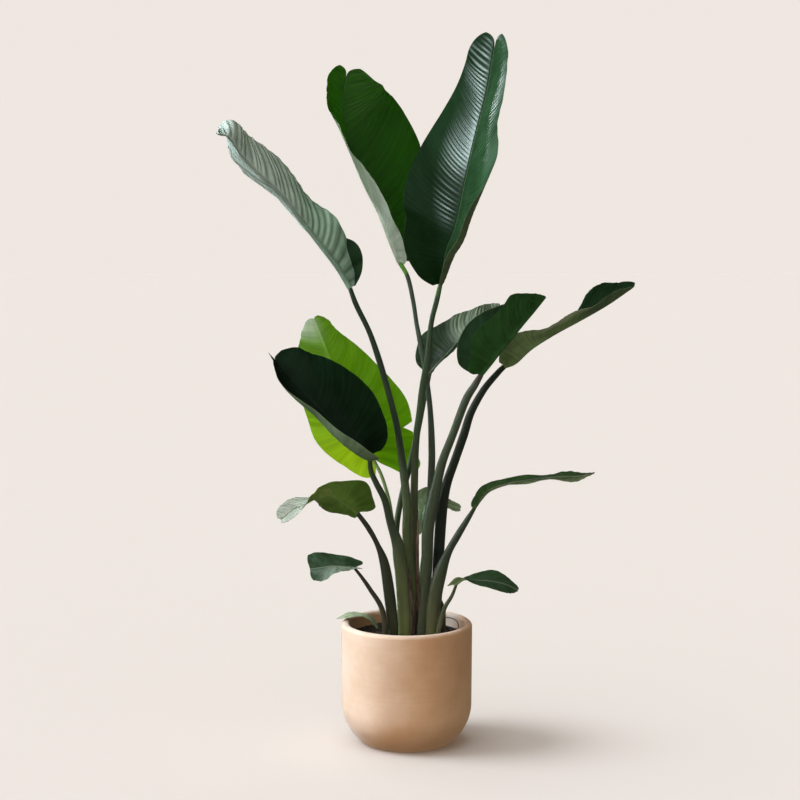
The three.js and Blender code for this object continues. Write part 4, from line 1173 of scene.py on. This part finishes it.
def make_crumbs(count):
    rng = random.Random(7)
    noise.seed_set(7)
    bm = bmesh.new()
    for _ in range(count):
        r = (SIDE_RADIUS - WALL - CRUMBS_OFF_WALL) * math.sqrt(rng.random())
        turn = rng.uniform(0, 2 * math.pi)
        x, y = r * math.cos(turn), r * math.sin(turn)
        size = rng.uniform(*CRUMB_SIZES)
        place = Matrix.Translation(Vector((x, y, soil_height(r, x, y) + CRUMB_RISE * size)) * MM)
        tumble = Matrix.Rotation(rng.uniform(0, math.pi), 4, Vector((rng.random(), rng.random(), 0.3)))
        stretch = Matrix.Diagonal((*(rng.uniform(*sizes) for sizes in CRUMB_STRETCH), 1))
        shaped = place @ tumble @ stretch
        made = bmesh.ops.create_icosphere(bm, subdivisions=2, radius=size * MM, matrix=shaped)
        for vertex in made["verts"]:
            vertex.co += noise.noise_vector(vertex.co * 700) * CRUMB_ROUGHNESS * size * MM
    return make_piece("soil_crumbs", bm, (dark_soil,), "soil")


soil = make_soil()
crumbs = make_crumbs(CRUMB_COUNT)
print("soil faces:", len(soil.data.polygons), "crumb faces:", len(crumbs.data.polygons))

# %% [markdown]
# The stage is a plain pale floor that runs out of view, in front of a plain pale background of the same
# tone. The room itself gives a dim warm light, and less of it shows as gloss.

# %% Floor and room
BACKDROP = (0.863, 0.800, 0.750)
FLOOR_TONE = (0.801, 0.771, 0.768)
FLOOR_SIZE = 60.0
ROOM_COLOUR, ROOM_LIGHT = (1.0, 0.91, 0.76), 0.30
GLOSS_COLOUR, ROOM_GLOSS = (0.9, 0.97, 1.0), 0.07


def make_floor():
    finish, start = new_finish("floor")
    finish_with(start, start.node("ShaderNodeBsdfDiffuse", None, {"Color": FLOOR_TONE}))
    bm = bmesh.new()
    bmesh.ops.create_grid(bm, x_segments=1, y_segments=1, size=FLOOR_SIZE / 2)
    made = mesh_object("floor", bm, (finish,))
    made.visible_diffuse = False
    made.visible_glossy = False
    made.visible_shadow = False
    return made


def make_world():
    world = bpy.data.worlds.new("room")
    world.use_nodes = True
    world.node_tree.nodes.clear()
    start = Wire(world.node_tree)
    rays = ("Is Camera Ray", "Is Glossy Ray")
    seen, glossy = (start.node("ShaderNodeLightPath", out=ray) for ray in rays)
    light, gloss, shown = (
        start.node("ShaderNodeBackground", None, {"Color": colour, "Strength": strength})
        for colour, strength in ((ROOM_COLOUR, ROOM_LIGHT), (GLOSS_COLOUR, ROOM_GLOSS), (BACKDROP, 1.0)))
    room = glossy.between(light, gloss)
    start.node("ShaderNodeOutputWorld", None, {"Surface": seen.between(room, shown)})
    bpy.context.scene.world = world


floor = make_floor()
make_world()
print("floor and room ready")

# %% [markdown]
# The light is soft daylight from the left: a wide sun lamp from the left and slightly behind, and a
# weaker one from the front left. Gloss comes from lamps of its own, like window panes, and light linking
# keeps them to the pieces that show it. The bright leaf gets light from behind, the pot's left side is
# bleached, and the floor has a sun and a sky of its own, in which only the pot throws its shadow. A row
# of the table holds where a lamp stands in the sky, its strength, its colour, the degrees that it spreads
# over, the group that it lights and the kind of light that it gives.

# %% Lamps


def group_of(name, pieces):
    made = bpy.data.collections.new(name)
    for piece in pieces:
        made.objects.link(piece)
    return made


blade_of = dict(zip(LEAVES, blades))
plant = [pot, soil, crumbs, *blades, *stalks, *old_pieces]
dull = [blade_of[name] for name in ("mid_left_front", "far_right", "small_right", "top_right")]
groups = {name: group_of(name, pieces) for name, pieces in {
    "plant": plant, "glossy": [piece for piece in plant if piece not in dull],
    "top_leaf": [blade_of["top_right"]], "bright_leaf": [blade_of["mid_left_back"]],
    "pot_only": [pot], "floor_only": [floor], "shadow_makers": [pot, soil]}.items()}
LAMPS = {
    "window": ((-1.0, 0.05, 0.78), 4.2, (0.86, 0.97, 1.08), 40, "plant", "soft"),
    "room_side": ((-0.63, -0.78, 0.6), 1.7, (1.0, 0.97, 0.93), 50, "plant", "soft"),
    "window_gloss": ((-1.0, -0.1, 0.62), 1.5, (0.88, 0.96, 1.0), 70, "glossy", "gloss"),
    "front_gloss": ((0.17, -0.90, 0.40), 1.4, (0.76, 0.95, 0.95), 11, "top_leaf", "gloss"),
    "tip_gloss": ((-0.82, 0.345, 0.46), 2.0, (0.84, 0.95, 1.0), 6, "top_leaf", "gloss"),
    "sky_gloss": ((0.10, -0.15, 1.0), 1.2, (0.88, 0.96, 1.0), 44, "glossy", "gloss"),
    "leaf_back": ((-0.45, 0.72, 0.54), 3.4, (1.0, 1.0, 0.96), 30, "bright_leaf", "both"),
    "pot_side": ((-1.0, -0.10, 1.0), 4.9, (0.05, 0.40, 1.0), 20, "pot_only", "soft"),
    "floor_sun": ((-1.0, 0.04, 0.93), 1.70, (0.96, 1.0, 1.0), 32, "floor_only", "both"),
    "floor_sky": ((-0.5, 0.02, 1.0), 1.50, (1.0, 0.94, 0.90), 90, "floor_only", "both"),
}


def add_sun(name, source, strength, colour, spread, lit, kind):
    """A sun lamp that gives one group soft light, gloss or both."""
    data = bpy.data.lights.new(name, "SUN")
    data.energy = strength
    data.color = colour
    data.angle = math.radians(spread)
    made = bpy.data.objects.new(name, data)
    made.rotation_euler = Vector(source).to_track_quat("Z", "Y").to_euler()
    bpy.context.scene.collection.objects.link(made)
    made.visible_glossy = kind != "soft"
    made.visible_diffuse = kind != "gloss"
    made.light_linking.receiver_collection = groups[lit]
    if lit == "floor_only":
        made.light_linking.blocker_collection = groups["shadow_makers"]


for name, row in LAMPS.items():
    add_sun(name, *row)
bpy.context.scene.view_settings.view_transform = "Standard"
print("lamps:", list(LAMPS))
